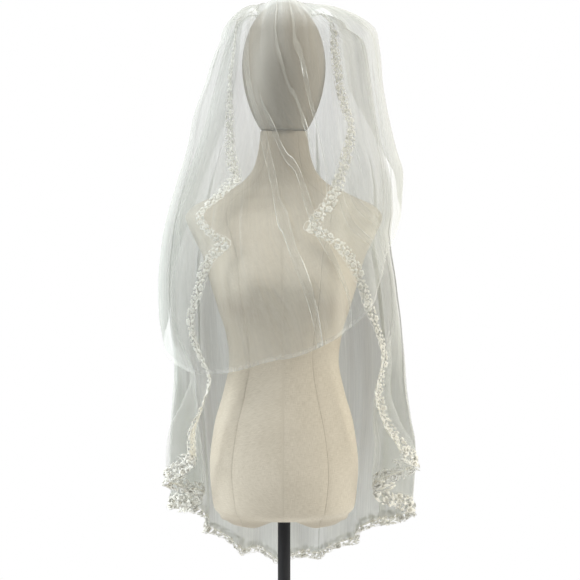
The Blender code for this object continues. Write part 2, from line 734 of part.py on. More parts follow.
def add_band():
    """Make the satin band that the gathers are sewn to, a rod over the comb."""
    path = band_line(np.linspace(-BAND_SHARE, BAND_SHARE, 13), 0.0, 0.0)
    curve = bpy.data.curves.new("gather_band", "CURVE")
    curve.dimensions = "3D"
    curve.bevel_depth = BAND_RADIUS
    curve.bevel_resolution = 2
    curve.use_fill_caps = True
    spline = curve.splines.new("POLY")
    spline.points.add(len(path) - 1)
    for target, (x, y, z) in zip(spline.points, path):
        target.co = (x, y, z, 1)
    add_object("gather_band", curve, SATIN)


def add_loft(name, rings, finish):
    """Make a closed body through rings of points that run anticlockwise, lowest first."""
    mesh = bpy.data.meshes.new(name)
    builder = bmesh.new()
    loops = [[builder.verts.new(point) for point in ring] for ring in rings]
    count = len(loops[0])
    for lower, upper in zip(loops[:-1], loops[1:]):
        for i in range(count):
            j = (i + 1) % count
            builder.faces.new((lower[i], lower[j], upper[j], upper[i]))
    builder.faces.new(loops[0][::-1])
    builder.faces.new(loops[-1])
    bmesh.ops.triangulate(builder, faces=[f for f in builder.faces if len(f.verts) > 4])
    builder.to_mesh(mesh)
    builder.free()
    return add_object(name, mesh, finish)


def torso_ring(height, turns):
    """Points of the torso's outline at one height: a superellipse with the bust added."""
    half = follow(TORSO_SECTIONS, "half", height)
    front = follow(TORSO_SECTIONS, "front", height)
    back = follow(TORSO_SECTIONS, "back", height)
    power = 2 / follow(TORSO_SECTIONS, "squareness", height)
    x = half * np.sign(np.cos(turns)) * np.abs(np.cos(turns)) ** power
    reach = np.where(np.sin(turns) < 0, -front, back)
    y = reach * np.sign(np.sin(turns)) * np.abs(np.sin(turns)) ** power
    for side in (-1, 1):
        away = ((x - side * BUST_SPREAD) / BUST_RADIUS) ** 2 + ((height - BUST_HEIGHT) / BUST_RADIUS) ** 2
        y = np.where(y < 0, y - BUST_REACH * np.exp(-away) * (-y / -front), y)
    return np.stack((x, y, np.full_like(x, height)), -1)


def add_torso():
    """Make the limbless torso with its neck, its underside arched over the pole."""
    turns = np.linspace(0, 2 * math.pi, 36, endpoint=False)
    heights = column(TORSO_SECTIONS, "height")
    rings = [torso_ring(height, turns) for height in heights]
    underside = []
    for share in (0.16, 0.55, 0.85):
        ring = rings[0].copy()
        ring[:, :2] *= share
        lobes = ease((np.abs(ring[:, 0]) - 0.022) / 0.05) * (1 - ease((share - 0.8) / 0.2))
        ring[:, 2] = CROTCH_HEIGHT - LOBE_DROP * lobes
        underside.append(ring)
    rings[0][:, 2] = CROTCH_HEIGHT + 0.001 - 0.006 * ease((np.abs(rings[0][:, 0]) - 0.022) / 0.05)
    add_loft("form_torso", underside + rings, LINEN)


def add_head():
    """Make the egg head: a sphere stretched to its size, narrowed to the chin, cut at the neck."""
    mesh = bpy.data.meshes.new("form_head")
    builder = bmesh.new()
    bmesh.ops.create_uvsphere(builder, u_segments=26, v_segments=15, radius=1.0)
    for vertex in builder.verts:
        x, y, z = vertex.co
        taper = 1 - CHIN_TAPER * max(0.0, -z) ** 1.5
        vertex.co = (HEAD_CENTRE[0] + HEAD_HALF[0] * taper * x,
                     HEAD_CENTRE[1] + HEAD_HALF[1] * taper * y,
                     HEAD_CENTRE[2] + (HEAD_DROP if z < 0 else HEAD_HALF[2]) * z)
    floor = NECK_TOP + GAP
    everything = builder.verts[:] + builder.edges[:] + builder.faces[:]
    cut = bmesh.ops.bisect_plane(builder, geom=everything, plane_co=(0, 0, floor),
                                 plane_no=(0, 0, 1), clear_inner=True)
    rim = [item for item in cut["geom_cut"] if isinstance(item, bmesh.types.BMEdge)]
    bmesh.ops.contextual_create(builder, geom=rim)
    bmesh.ops.recalc_face_normals(builder, faces=builder.faces[:])
    builder.to_mesh(mesh)
    builder.free()
    add_object("form_head", mesh, LINEN)


def add_stand():
    """Make the pole, and the base plate turned with its collar and socket."""
    socket = POLE_RADIUS + GAP
    mesh = bpy.data.meshes.new("stand_pole")
    builder = bmesh.new()
    bottom = SOCKET_FLOOR + GAP
    top = CROTCH_HEIGHT - GAP
    bmesh.ops.create_cone(builder, cap_ends=True, segments=24, radius1=POLE_RADIUS,
                          radius2=POLE_RADIUS, depth=top - bottom)
    bmesh.ops.translate(builder, vec=(0, 0, (top + bottom) / 2), verts=builder.verts[:])
    builder.to_mesh(mesh)
    builder.free()
    add_object("stand_pole", mesh, STEEL)
    rim = 0.003
    profile = ((0.0, SOCKET_FLOOR), (socket, SOCKET_FLOOR), (socket, COLLAR_TOP),
               (COLLAR_RADIUS - rim / 2, COLLAR_TOP), (COLLAR_RADIUS, COLLAR_TOP - rim / 2),
               (COLLAR_RADIUS, BASE_THICKNESS + 2 * rim), (COLLAR_RADIUS + 2 * rim, BASE_THICKNESS),
               (BASE_RADIUS - rim, BASE_THICKNESS), (BASE_RADIUS, BASE_THICKNESS - rim),
               (BASE_RADIUS, rim), (BASE_RADIUS - rim, 0.0), (0.0, 0.0))
    mesh = bpy.data.meshes.new("stand_base")
    links = [(i, i + 1) for i in range(len(profile) - 1)]
    mesh.from_pydata([(radius, 0.0, height) for radius, height in profile], links, [])
    base = add_object("stand_base", mesh, STEEL)
    turn = base.modifiers.new("turn", "SCREW")
    turn.axis = "Z"
    turn.steps = 32
    turn.render_steps = 32
    turn.use_merge_vertices = True
    turn.merge_threshold = 0.0001
    turn.use_smooth_shade = True


def main():
    """Clear the scene and build every piece in its own place."""
    for old in list(bpy.data.objects):
        bpy.data.objects.remove(old, do_unlink=True)
    group = bpy.data.collections.new("bridal_veil")
    bpy.context.scene.collection.children.link(group)
    add_stand()
    add_torso()
    add_head()
    add_comb()
    add_band()
    add_long_tier()
    add_blusher()


main()
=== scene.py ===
"""Looks of a two-tier bridal veil on a limbless dress form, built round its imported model.

Metres, +Z up. The front looks towards -Y and +X is the viewer's right. Both tiers of tulle
are gathered on a comb at the back of the crown. The long tier falls behind and comes forward
over the shoulders, and the blusher falls in front of the face. A floral lace borders the
long tier. Every surface is worked out as whole arrays on a grid of two parameters.
"""
import sys

import logging
import math
from dataclasses import dataclass
from enum import Enum
from typing import Callable, NamedTuple, TypeVar

import bpy
import numpy as np
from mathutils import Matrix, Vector
from numpy.typing import NDArray


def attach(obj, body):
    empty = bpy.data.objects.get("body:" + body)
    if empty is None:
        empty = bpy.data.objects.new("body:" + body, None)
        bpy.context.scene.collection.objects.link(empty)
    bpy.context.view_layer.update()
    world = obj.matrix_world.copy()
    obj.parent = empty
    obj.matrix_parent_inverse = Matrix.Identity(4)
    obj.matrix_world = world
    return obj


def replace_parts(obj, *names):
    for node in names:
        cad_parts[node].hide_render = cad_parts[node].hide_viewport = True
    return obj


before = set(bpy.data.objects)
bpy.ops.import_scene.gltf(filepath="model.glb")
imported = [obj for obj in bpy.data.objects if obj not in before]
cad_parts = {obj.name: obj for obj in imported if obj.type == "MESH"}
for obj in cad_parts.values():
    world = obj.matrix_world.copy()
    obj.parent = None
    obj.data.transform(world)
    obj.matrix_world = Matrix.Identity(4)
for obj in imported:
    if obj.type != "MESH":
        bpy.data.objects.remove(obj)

log = logging.getLogger("veil")

Floats = NDArray[np.float64]
Ints = NDArray[np.int64]
Colour = tuple[float, float, float, float]
Row = TypeVar("Row")


class Slot(str, Enum):
    """Names for material slots."""

    TULLE = "ivory_tulle"
    LACE = "cream_lace"
    LINEN = "beige_linen"
    SATIN = "ivory_satin"
    STEEL = "black_steel"
    PLASTIC = "comb_plastic"


# ---- shader graphs


class Value:
    """An output of a node. Python's operators on it add Math nodes to its graph."""

    def __init__(self, graph: "Graph", socket: bpy.types.NodeSocket) -> None:
        """Wrap a node's output socket."""
        self.graph = graph
        self.socket = socket

    def math(self, operation: str, *operands: "Value | float") -> "Value":
        """Add a Math node on this value and up to two more operands."""
        inputs = dict(enumerate((self, *operands)))
        return self.graph.node("ShaderNodeMath", {"operation": operation}, inputs)

    def __add__(self, other: "Value | float") -> "Value":
        """Sum."""
        return self.math("ADD", other)

    def __mul__(self, other: "Value | float") -> "Value":
        """Product."""
        return self.math("MULTIPLY", other)

    def __sub__(self, other: "Value | float") -> "Value":
        """Difference."""
        return self.math("SUBTRACT", other)

    def __truediv__(self, other: "Value | float") -> "Value":
        """Quotient."""
        return self.math("DIVIDE", other)

    def __rsub__(self, other: float) -> "Value":
        """Difference from a number."""
        return self.graph.node("ShaderNodeMath", {"operation": "SUBTRACT"}, {0: other, 1: self})

    __radd__ = __add__
    __rmul__ = __mul__

    def __abs__(self) -> "Value":
        """Size without sign."""
        return self.math("ABSOLUTE")

    def wave(self, pitch: float) -> "Value":
        """Sine of this length, one cycle every pitch."""
        return (self * (2 * math.pi / pitch)).math("SINE")

    def held(self, low: float = 0.0, high: float = 1.0) -> "Value":
        """The value kept between two limits."""
        return self.math("MINIMUM", high).math("MAXIMUM", low)

    def step(self, low: float, high: float) -> "Value":
        """Smooth step from 0 to 1.

        Args:
            low: Where it is 0.
            high: Where it is 1, which may be the lesser of the two.

        Returns:
            The step.
        """
        settings = {"interpolation_type": "SMOOTHSTEP"}
        if low < high:
            return self.graph.node("ShaderNodeMapRange", settings,
                                   {"Value": self, "From Min": low, "From Max": high})
        return 1 - self.step(high, low)


class Graph:
    """The nodes of one material round its Principled shader."""

    def __init__(self, name: str) -> None:
        """Make a material with its shader.

        Args:
            name: The material's name.
        """
        self.material = bpy.data.materials.new(name)
        self.material.use_nodes = True
        self.tree = self.material.node_tree
        self.shader = self.tree.nodes["Principled BSDF"]

    def node(self, kind: str, settings: dict[str, object] | None = None,
             inputs: dict[int | str, object] | None = None, output: int | str = 0) -> Value:
        """Add a node.

        Args:
            kind: The node's type.
            settings: Its own settings, set first.
            inputs: A number, colour or link for each named or numbered input.
            output: The output that is wanted.

        Returns:
            That output.
        """
        made = self.tree.nodes.new(kind)
        for key, value in (settings or {}).items():
            setattr(made, key, value)
        for key, value in (inputs or {}).items():
            self.feed(made.inputs[key], value)
        return Value(self, made.outputs[output])

    def feed(self, socket: bpy.types.NodeSocket, value: "Value | object") -> None:
        """Link a value to a socket, or set the socket's own number or colour.

        Args:
            socket: The socket.
            value: What it is fed with.
        """
        if isinstance(value, Value):
            self.tree.links.new(value.socket, socket)
        else:
            socket.default_value = value

    def set(self, **inputs: "Value | object") -> None:
        """Feed the shader's sockets, their names written with _ for a space."""
        for name, value in inputs.items():
            self.feed(self.shader.inputs[name.replace("_", " ")], value)

    def parts(self, vector: Value) -> tuple[Value, Value, Value]:
        """The three parts of a vector."""
        split = self.node("ShaderNodeSeparateXYZ", None, {0: vector}).socket.node
        return tuple(Value(self, split.outputs[i]) for i in range(3))

    def place(self) -> tuple[Value, Value, Value]:
        """The point's X, Y and Z in metres."""
        return self.parts(self.node("ShaderNodeTexCoord", output="Object"))

    def cloth(self) -> tuple[Value, Value]:
        """The point's place on the flat cloth in metres, across and along."""
        return self.parts(self.node("ShaderNodeTexCoord", output="UV"))[:2]

    def field(self, name: str) -> Value:
        """A number stored on the mesh's points."""
        return self.node("ShaderNodeAttribute", {"attribute_name": name}, output="Fac")

    def point(self, x: "Value | float", y: "Value | float", z: "Value | float" = 0.0) -> Value:
        """A vector from its three parts."""
        return self.node("ShaderNodeCombineXYZ", None, {0: x, 1: y, 2: z})

    def noise(self, point: Value, scale: float, detail: float = 3.0, roughness: float = 0.5) -> Value:
        """Soft noise from 0 to 1, its scale in cycles a metre."""
        return self.node("ShaderNodeTexNoise", None, {
            "Vector": point, "Scale": scale, "Detail": detail, "Roughness": roughness})

    def mix(self, factor: "Value | float", first: "Value | Colour", second: "Value | Colour",
            blend: str = "MIX") -> Value:
        """Mix two colours."""
        settings = {"data_type": "RGBA", "blend_type": blend}
        return self.node("ShaderNodeMix", settings, {0: factor, 6: first, 7: second}, output=2)

    def bump(self, height: Value, distance: float, strength: float = 1.0) -> Value:
        """Normal of a relief whose height from 0 to 1 stands for a distance."""
        return self.node("ShaderNodeBump", None, {
            "Height": height, "Distance": distance, "Strength": strength})


class Sky(Graph):
    """The nodes of the surroundings round their Background shader."""

    def __init__(self, name: str) -> None:
        """Make a world with its background.

        Args:
            name: The world's name.
        """
        self.world = bpy.data.worlds.new(name)
        self.world.use_nodes = True
        self.tree = self.world.node_tree
        self.shader = self.tree.nodes["Background"]


# ---- finishes


@dataclass(frozen=True)
class Tulle:
    """Fine nylon net, thin and see-through, with a painted highlight that whitens it where it is folded or
    gathered.
    """

    colour: Colour = (0.615, 0.63, 0.59, 1.0)
    painted_highlight_colour: Colour = (0.93, 0.925, 0.88, 1.0)
    web: Colour = (0.78, 0.755, 0.64, 1.0)
    pitch: float = 0.0016
    thread: float = 0.20
    net: float = 0.08
    heavy: float = 0.60
    streaks: float = 0.24
    streak_scale: float = 320.0
    clouds: float = 0.10
    cloud_scale: float = 16.0
    ground: float = 0.14
    ground_threads: float = 0.62
    ground_scale: float = 330.0
    ground_edge_scale: float = 110.0
    least: float = 0.06
    most: float = 0.96

    def make(self) -> bpy.types.Material:
        """Three families of threads in a net, streaks along the drop, and the folds' cover.

        The cloth's own cover is stored on its points. Near the edges, where the lace is
        sewn on, the net turns into the lace's ground: a close web with small holes.

        Returns:
            The material.
        """
        graph = Graph("tulle_net")
        across, along = graph.cloth()
        dense = graph.field("dense")
        slant = math.sqrt(3) / 2
        families = (across, across * 0.5 + along * slant, across * 0.5 - along * slant)
        threads = [abs(family.wave(2 * self.pitch)).step(self.thread, 0.0) for family in families]
        net = threads[0].math("MAXIMUM", threads[1]).math("MAXIMUM", threads[2])
        streak = graph.noise(graph.point(across, along * 0.02), self.streak_scale, 4.0, 0.6)
        cloud = graph.noise(graph.point(across, along * 0.35), self.cloud_scale, 2.0)
        cover = graph.field("cover") + self.net * (net - 0.4) + self.streaks * (streak - 0.5)
        alpha = cover + self.clouds * (cloud - 0.5) + dense * self.heavy
        web = graph.noise(graph.point(across, along), self.ground_scale, 2.0)
        sprays = graph.noise(graph.point(across, along), self.ground_edge_scale, 2.0)
        border = ((graph.field("lace") * 2.0 + (sprays - 0.5) * 1.4 - 0.5) * 3.0).held()
        solid = ((web - 0.44) * 12.0).held()
        alpha = alpha + border * (self.ground + solid * self.ground_threads - alpha)
        alpha = alpha.held(self.least, self.most)
        # Painted highlight: the net turns to the paler colour along its folds, pleat borders, gathers and
        # streaks.
        painted_highlight_share = (dense * 1.4 + (streak - 0.45) * 0.6).held()
        base = graph.mix(painted_highlight_share, self.colour, self.painted_highlight_colour)
        graph.set(Base_Color=graph.mix(border, base, self.web), Alpha=alpha,
                  Roughness=0.62, Sheen_Weight=0.25, Sheen_Roughness=0.4, Specular_IOR_Level=0.3,
                  Normal=graph.bump(net, 0.0002, 0.25))
        return graph.material


@dataclass(frozen=True)
class LaceThread:
    """Satin-stitched rayon on the lace's petals, leaves and cords."""

    colour: Colour = (0.97, 0.96, 0.90, 1.0)
    shade: Colour = (0.42, 0.39, 0.28, 1.0)
    stitch: float = 0.00055
    hollows: float = 0.75
    creases: float = 0.10
    patches: float = 0.7

    def make(self) -> bpy.types.Material:
        """Stitches lie side by side, with painted shade in the motifs' hollows and in the creases between
        stitches, and darker in random patches.

        Returns:
            The material.
        """
        graph = Graph("lace_thread")
        across, along = graph.cloth()
        lie = graph.noise(graph.point(across, along), 500.0, 3.0)
        stitches = (along + across * 0.35 + lie * 0.0006).wave(self.stitch) * 0.5 + 0.5
        hollow = graph.field("hollow")
        x, y, z = graph.place()
        patch = graph.noise(graph.point(x, y, z), 45.0, 3.0)
        # Painted shade in the hollows and between the stitches, and random darker patches.
        depth = hollow * self.hollows + (1 - stitches) * self.creases + (patch - 0.5) * self.patches
        graph.set(Base_Color=graph.mix(depth.held(), self.colour, self.shade),
                  Roughness=0.5 + stitches * 0.2, Sheen_Weight=0.2, Specular_IOR_Level=0.4,
                  Normal=graph.bump(stitches, 0.00025, 0.7))
        return graph.material


@dataclass(frozen=True)
class Linen:
    """Unbleached plain-weave linen stretched over the form, with its sewn seams."""

    name: str = "form_linen"
    colour: Colour = (0.66, 0.605, 0.505, 1.0)
    slub: Colour = (0.50, 0.445, 0.35, 1.0)
    seam: Colour = (0.36, 0.31, 0.24, 1.0)
    pitch: float = 0.0011
    seam_half: float = 0.0011
    seam_tint: float = 0.28
    shade_half: float = 0.010
    shade_tint: float = 0.06

    def make(self) -> bpy.types.Material:
        """Threads cross over and under, with slubs, seams are grooves with a soft painted shade beside
        them, and a stored painted shade darkens the linen towards the seams' colour.

        Returns:
            The material.
        """
        graph = Graph(self.name)
        across, along = graph.cloth()
        weave = across.wave(2 * self.pitch) * along.wave(2 * self.pitch)
        weft = graph.noise(graph.point(across * 0.10, along), 900.0, 3.0, 0.6)
        warp = graph.noise(graph.point(across, along * 0.10), 900.0, 3.0, 0.6)
        cloud = graph.noise(graph.point(across, along), 9.0, 3.0)
        nearest = graph.field("seam").math("MINIMUM", abs(graph.field("princess")))
        groove = nearest.step(self.seam_half, 0.0)
        shade = nearest.step(self.shade_half, 0.0)
        fibre = (weft + warp) * 0.5
        tone = (fibre - 0.5) * 3.4 + (cloud - 0.5) * 0.8 + weave * 0.10 + 0.36
        base = graph.mix(tone.held(), self.colour, self.slub)
        base = graph.mix(groove * self.seam_tint + shade * self.shade_tint, base, self.seam)
        # Painted shade stored on the points darkens the linen towards the seams' colour.
        base = graph.mix(graph.field("worn_and_shaded"), base, self.seam)
        height = weave * 0.22 + fibre * 0.55 - groove * 1.6 - shade * 0.8
        graph.set(Base_Color=base, Roughness=0.88, Sheen_Weight=0.12, Specular_IOR_Level=0.25,
                  Normal=graph.bump(height, 0.0006, 0.7))
        return graph.material


@dataclass(frozen=True)
class Satin:
    """Ivory satin ribbon drawn up into fine puckers."""

    colour: Colour = (0.84, 0.81, 0.72, 1.0)
    shade: Colour = (0.66, 0.62, 0.52, 1.0)

    def make(self) -> bpy.types.Material:
        """Long floats run round the ribbon, with a soft gloss.

        Returns:
            The material.
        """
        graph = Graph("band_satin")
        across, along = graph.cloth()
        floats = graph.noise(graph.point(across * 0.05, along), 2600.0, 2.0)
        graph.set(Base_Color=graph.mix(floats * 0.5, self.colour, self.shade),
                  Roughness=0.32 + floats * 0.16, Sheen_Weight=0.2,
                  Normal=graph.bump(floats, 0.0001, 0.5))
        return graph.material


@dataclass(frozen=True)
class Paint:
    """Black powder coat on the stand's steel, with a fine orange peel and handling wear."""

    colour: Colour = (0.016, 0.016, 0.018, 1.0)
    worn_and_shaded: Colour = (0.055, 0.055, 0.058, 1.0)

    def make(self) -> bpy.types.Material:
        """Peel in the normal, and faint cloudy wear in colour and roughness.

        Returns:
            The material.
        """
        graph = Graph("stand_paint")
        x, y, z = graph.place()
        peel = graph.noise(graph.point(x, y, z), 1400.0, 2.0)
        wear_and_shade = graph.noise(graph.point(x, y, z * 0.25), 60.0, 4.0, 0.65).step(0.52, 0.74)
        graph.set(Base_Color=graph.mix(wear_and_shade * 0.6, self.colour, self.worn_and_shaded), Metallic=0.3,
                  Roughness=0.34 + wear_and_shade * 0.22, Normal=graph.bump(peel, 0.0001, 0.35))
        return graph.material


@dataclass(frozen=True)
class Plastic:
    """Milky moulded plastic of the comb."""

    colour: Colour = (0.80, 0.79, 0.75, 1.0)
    flow: Colour = (0.68, 0.66, 0.60, 1.0)

    def make(self) -> bpy.types.Material:
        """Faint flow lines down the teeth.

        Returns:
            The material.
        """
        graph = Graph("comb_moulding")
        x, y, z = graph.place()
        lines = graph.noise(graph.point(x, y * 0.2, z * 0.2), 700.0, 2.0)
        graph.set(Base_Color=graph.mix(lines, self.colour, self.flow), Roughness=0.22 + lines * 0.12,
                  Normal=graph.bump(lines, 0.0001, 0.3))
        return graph.material


@dataclass(frozen=True)
class FloorPaint:
    """Matt white studio floor."""

    colour: Colour = (0.90, 0.90, 0.895, 1.0)
    mottle: Colour = (0.86, 0.86, 0.855, 1.0)

    def make(self) -> bpy.types.Material:
        """Barely mottled.

        Returns:
            The material.
        """
        graph = Graph("studio_floor")
        x, y, z = graph.place()
        cloud = graph.noise(graph.point(x, y, z), 3.0, 2.0)
        graph.set(Base_Color=graph.mix(cloud * 0.2, self.colour, self.mottle), Roughness=0.8)
        return graph.material


# ---- mesh helpers


@dataclass
class Patch:
    """Points, faces and stored values of a mesh, or of one motif of it."""

    points: Floats
    faces: Ints
    cloth: Floats
    hollow: Floats

    def moved(self, along: float, across: float, turn: float = 0.0, lift: float = 0.0) -> "Patch":
        """Turn the patch in its own plane, then move it."""
        spin = np.array(((math.cos(turn), math.sin(turn), 0), (-math.sin(turn), math.cos(turn), 0),
                         (0, 0, 1)))
        return Patch(self.points @ spin + np.array((along, across, lift)), self.faces, self.cloth,
                     self.hollow)

    @staticmethod
    def joined(parts: list["Patch"]) -> "Patch":
        """Join patches into one.

        Args:
            parts: The patches.

        Returns:
            One patch, its points in the order of the parts.
        """
        starts = np.cumsum([0] + [len(part.points) for part in parts[:-1]])
        faces = np.concatenate([part.faces + start for part, start in zip(parts, starts)])
        return Patch(np.concatenate([part.points for part in parts]), faces,
                     np.concatenate([part.cloth for part in parts]),
                     np.concatenate([part.hollow for part in parts]))


def cells(rows: int, columns: int, ring: bool = False) -> Ints:
    """Corners of the cells of a grid.

    Args:
        rows: Number of rows of points.
        columns: Number of points in each row.
        ring: Whether each row closes on itself.

    Returns:
        Four point numbers for each cell.
    """
    index = np.arange(rows * columns).reshape(rows, columns)
    if ring:
        index = np.concatenate((index, index[:, :1]), axis=1)
    corners = (index[:-1, :-1], index[:-1, 1:], index[1:, 1:], index[1:, :-1])
    return np.stack(corners, axis=-1).reshape(-1, 4)


def caps(rows: int, columns: int) -> Ints:
    """Fans that close the first and last rings of a tube, round two extra points at its end.

    Args:
        rows: Number of rings.
        columns: Number of points in each ring.

    Returns:
        Three point numbers for each triangle.
    """
    around = np.arange(columns)
    ahead = np.roll(around, -1)
    first = rows * columns
    top = first - columns
    lower = np.stack((np.full(columns, first), ahead, around), axis=-1)
    upper = np.stack((np.full(columns, first + 1), top + around, top + ahead), axis=-1)
    return np.concatenate((lower, upper))


def add_piece(name: str, finish: bpy.types.Material, points: Floats,
              faces: list[list[int]], cloth: Floats | None = None,
              fields: dict[str, Floats] | None = None) -> bpy.types.Object:
    """Make a smooth object that rides on the root body.

    Args:
        name: The piece's name.
        finish: Its material.
        points: Its points.
        faces: The point numbers of each face.
        cloth: The place of each point on the flat cloth, kept as the UV map.
        fields: Numbers to store on the points, by name.

    Returns:
        The object.
    """
    mesh = bpy.data.meshes.new(name)
    mesh.from_pydata(points.tolist(), [], faces)
    if cloth is not None:
        corner = np.empty(len(mesh.loops), dtype=np.int32)
        mesh.loops.foreach_get("vertex_index", corner)
        layer = mesh.uv_layers.new(name="cloth")
        layer.data.foreach_set("uv", cloth[corner].astype(np.float32).ravel())
    for key, numbers in (fields or {}).items():
        stored = mesh.attributes.new(key, "FLOAT", "POINT")
        stored.data.foreach_set("value", numbers.astype(np.float32).ravel())
    mesh.shade_smooth()
    mesh.materials.append(finish)
    piece = bpy.data.objects.new(name, mesh)
    bpy.context.scene.collection.objects.link(piece)
    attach(piece, "root")
    triangles = sum(len(face) - 2 for face in faces)
    log.info("%s: %d triangles", name, triangles)
    return piece


def add_body(name: str, finish: bpy.types.Material, rings: Floats,
             fields: dict[str, Floats] | None = None) -> bpy.types.Object:
    """Make a closed body through rings of points, lowest first and anticlockwise from above.

    Its flat cloth runs round each ring by arc length and up by the length of its profile.

    Args:
        name: The piece's name.
        finish: Its material.
        rings: Its points, rings by points in a ring.
        fields: Numbers to store on the points, by name.

    Returns:
        The object.
    """
    rows, columns = rings.shape[:2]
    ends = np.stack((rings[0].mean(0), rings[-1].mean(0)))
    points = np.concatenate((rings.reshape(-1, 3), ends))
    steps = np.linalg.norm(np.diff(rings, axis=1), axis=-1)
    across = np.concatenate((np.zeros((rows, 1)), np.cumsum(steps, axis=1)), axis=1)
    rise = np.linalg.norm(np.diff(rings, axis=0), axis=-1).mean(1)
    along = np.repeat(np.concatenate(((0.0,), np.cumsum(rise)))[:, None], columns, axis=1)
    cloth = np.stack((across, along), axis=-1).reshape(-1, 2)
    cloth = np.concatenate((cloth, ((0.0, -0.01), (0.0, along[-1, 0] + 0.01))))
    faces = cells(rows, columns, ring=True).tolist() + caps(rows, columns).tolist()
    full = {key: np.concatenate((numbers.ravel(), np.ones(2)))
            for key, numbers in (fields or {}).items()}
    return add_piece(name, finish, points, faces, cloth, full)


def table(kind: Callable[..., Row], *rows: tuple[float, ...]) -> tuple[Row, ...]:
    """A table of one kind of row, from the rows' plain numbers."""
    return tuple(kind(*row) for row in rows)


def column(rows: tuple, name: str) -> Floats:
    """One named column of a table."""
    return np.array([getattr(row, name) for row in rows], dtype=float)


def follow(rows: tuple, name: str, at: Floats | float, key: str = "height") -> Floats:
    """Read a table's column as a monotone cubic curve.

    At each row the slope is the weighted harmonic mean of the slopes on both sides, or 0
    where they differ in sign, so the curve never overshoots its rows.

    Args:
        rows: The table.
        name: The column that is read.
        at: Where it is read. Past the table's ends it keeps its end values.
        key: The column that it is read against.

    Returns:
        The values there.
    """
    knots = column(rows, key)
    values = column(rows, name)
    if knots[0] > knots[-1]:
        knots = knots[::-1]
        values = values[::-1]
    steps = np.diff(knots)
    slopes = np.diff(values) / steps
    before, after = slopes[:-1], slopes[1:]
    heavy = 2 * steps[1:] + steps[:-1]
    light = steps[1:] + 2 * steps[:-1]
    same = before * after > 0
    safe_before = np.where(same, before, 1.0)
    safe_after = np.where(same, after, 1.0)
    inner = np.where(same, (heavy + light) / (heavy / safe_before + light / safe_after), 0.0)
    turns = np.concatenate((slopes[:1], inner, slopes[-1:]))
    place = np.clip(at, knots[0], knots[-1])
    cell = np.clip(np.searchsorted(knots, place, side="right") - 1, 0, len(steps) - 1)
    t = (place - knots[cell]) / steps[cell]
    return ((1 + 2 * t) * (1 - t) ** 2 * values[cell]
            + t * (1 - t) ** 2 * steps[cell] * turns[cell]
            + t * t * (3 - 2 * t) * values[cell + 1]
            + t * t * (t - 1) * steps[cell] * turns[cell + 1])


def ease(t: Floats | float) -> Floats:
    """Smooth step from 0 to 1."""
    t = np.clip(t, 0.0, 1.0)
    return t * t * (3 - 2 * t)


def unit(vectors: Floats) -> Floats:
    """Vectors at length 1."""
    return vectors / np.maximum(np.linalg.norm(vectors, axis=-1, keepdims=True), 1e-12)


# ---- dress form


class Section(NamedTuple):
    """Cross-section of the torso: half width, and reach to the front and back."""

    height: float
    half: float
    front: float
    back: float
    squareness: float


class SeamLine(NamedTuple):
    """Where the princess seams lie at one height, as a share of the half width."""

    height: float
    front: float
    back: float


class Armhole(NamedTuple):
    """How far out the edge of the arm plates lies at one height."""

    height: float
    across: float


TORSO_SECTIONS = table(
    Section,
    (0.652, 0.125, -0.064, 0.075, 2.0),
    (0.668, 0.138, -0.083, 0.094, 2.1),
    (0.700, 0.143, -0.092, 0.104, 2.1),
    (0.750, 0.146, -0.098, 0.110, 2.1),
    (0.830, 0.137, -0.096, 0.098, 2.1),
    (0.900, 0.118, -0.086, 0.080, 2.1),
    (0.960, 0.107, -0.080, 0.070, 2.1),
    (1.010, 0.113, -0.086, 0.074, 2.1),
    (1.060, 0.128, -0.098, 0.084, 2.2),
    (1.110, 0.143, -0.108, 0.092, 2.2),
    (1.160, 0.157, -0.104, 0.096, 2.2),
    (1.205, 0.178, -0.090, 0.096, 2.3),
    (1.238, 0.191, -0.076, 0.090, 2.3),
    (1.256, 0.180, -0.068, 0.084, 2.2),
    (1.280, 0.132, -0.060, 0.076, 2.1),
    (1.305, 0.082, -0.052, 0.066, 2.0),
    (1.335, 0.058, -0.047, 0.058, 2.0),
    (1.375, 0.048, -0.044, 0.052, 2.0),
    (1.404, 0.045, -0.043, 0.048, 2.0),
)
SEAM_LINES = table(
    SeamLine,
    (0.652, 0.60, 0.48), (0.750, 0.63, 0.50), (0.860, 0.60, 0.46), (0.960, 0.56, 0.42),
    (1.060, 0.54, 0.46), (1.112, 0.52, 0.50), (1.180, 0.50, 0.52), (1.240, 0.52, 0.52),
    (1.290, 0.62, 0.60), (1.404, 0.62, 0.60),
)
ARMHOLES = table(
    Armhole,
    (1.075, 0.240), (1.105, 0.166), (1.150, 0.143), (1.200, 0.147), (1.240, 0.158), (1.262, 0.185),
    (1.280, 0.240),
)


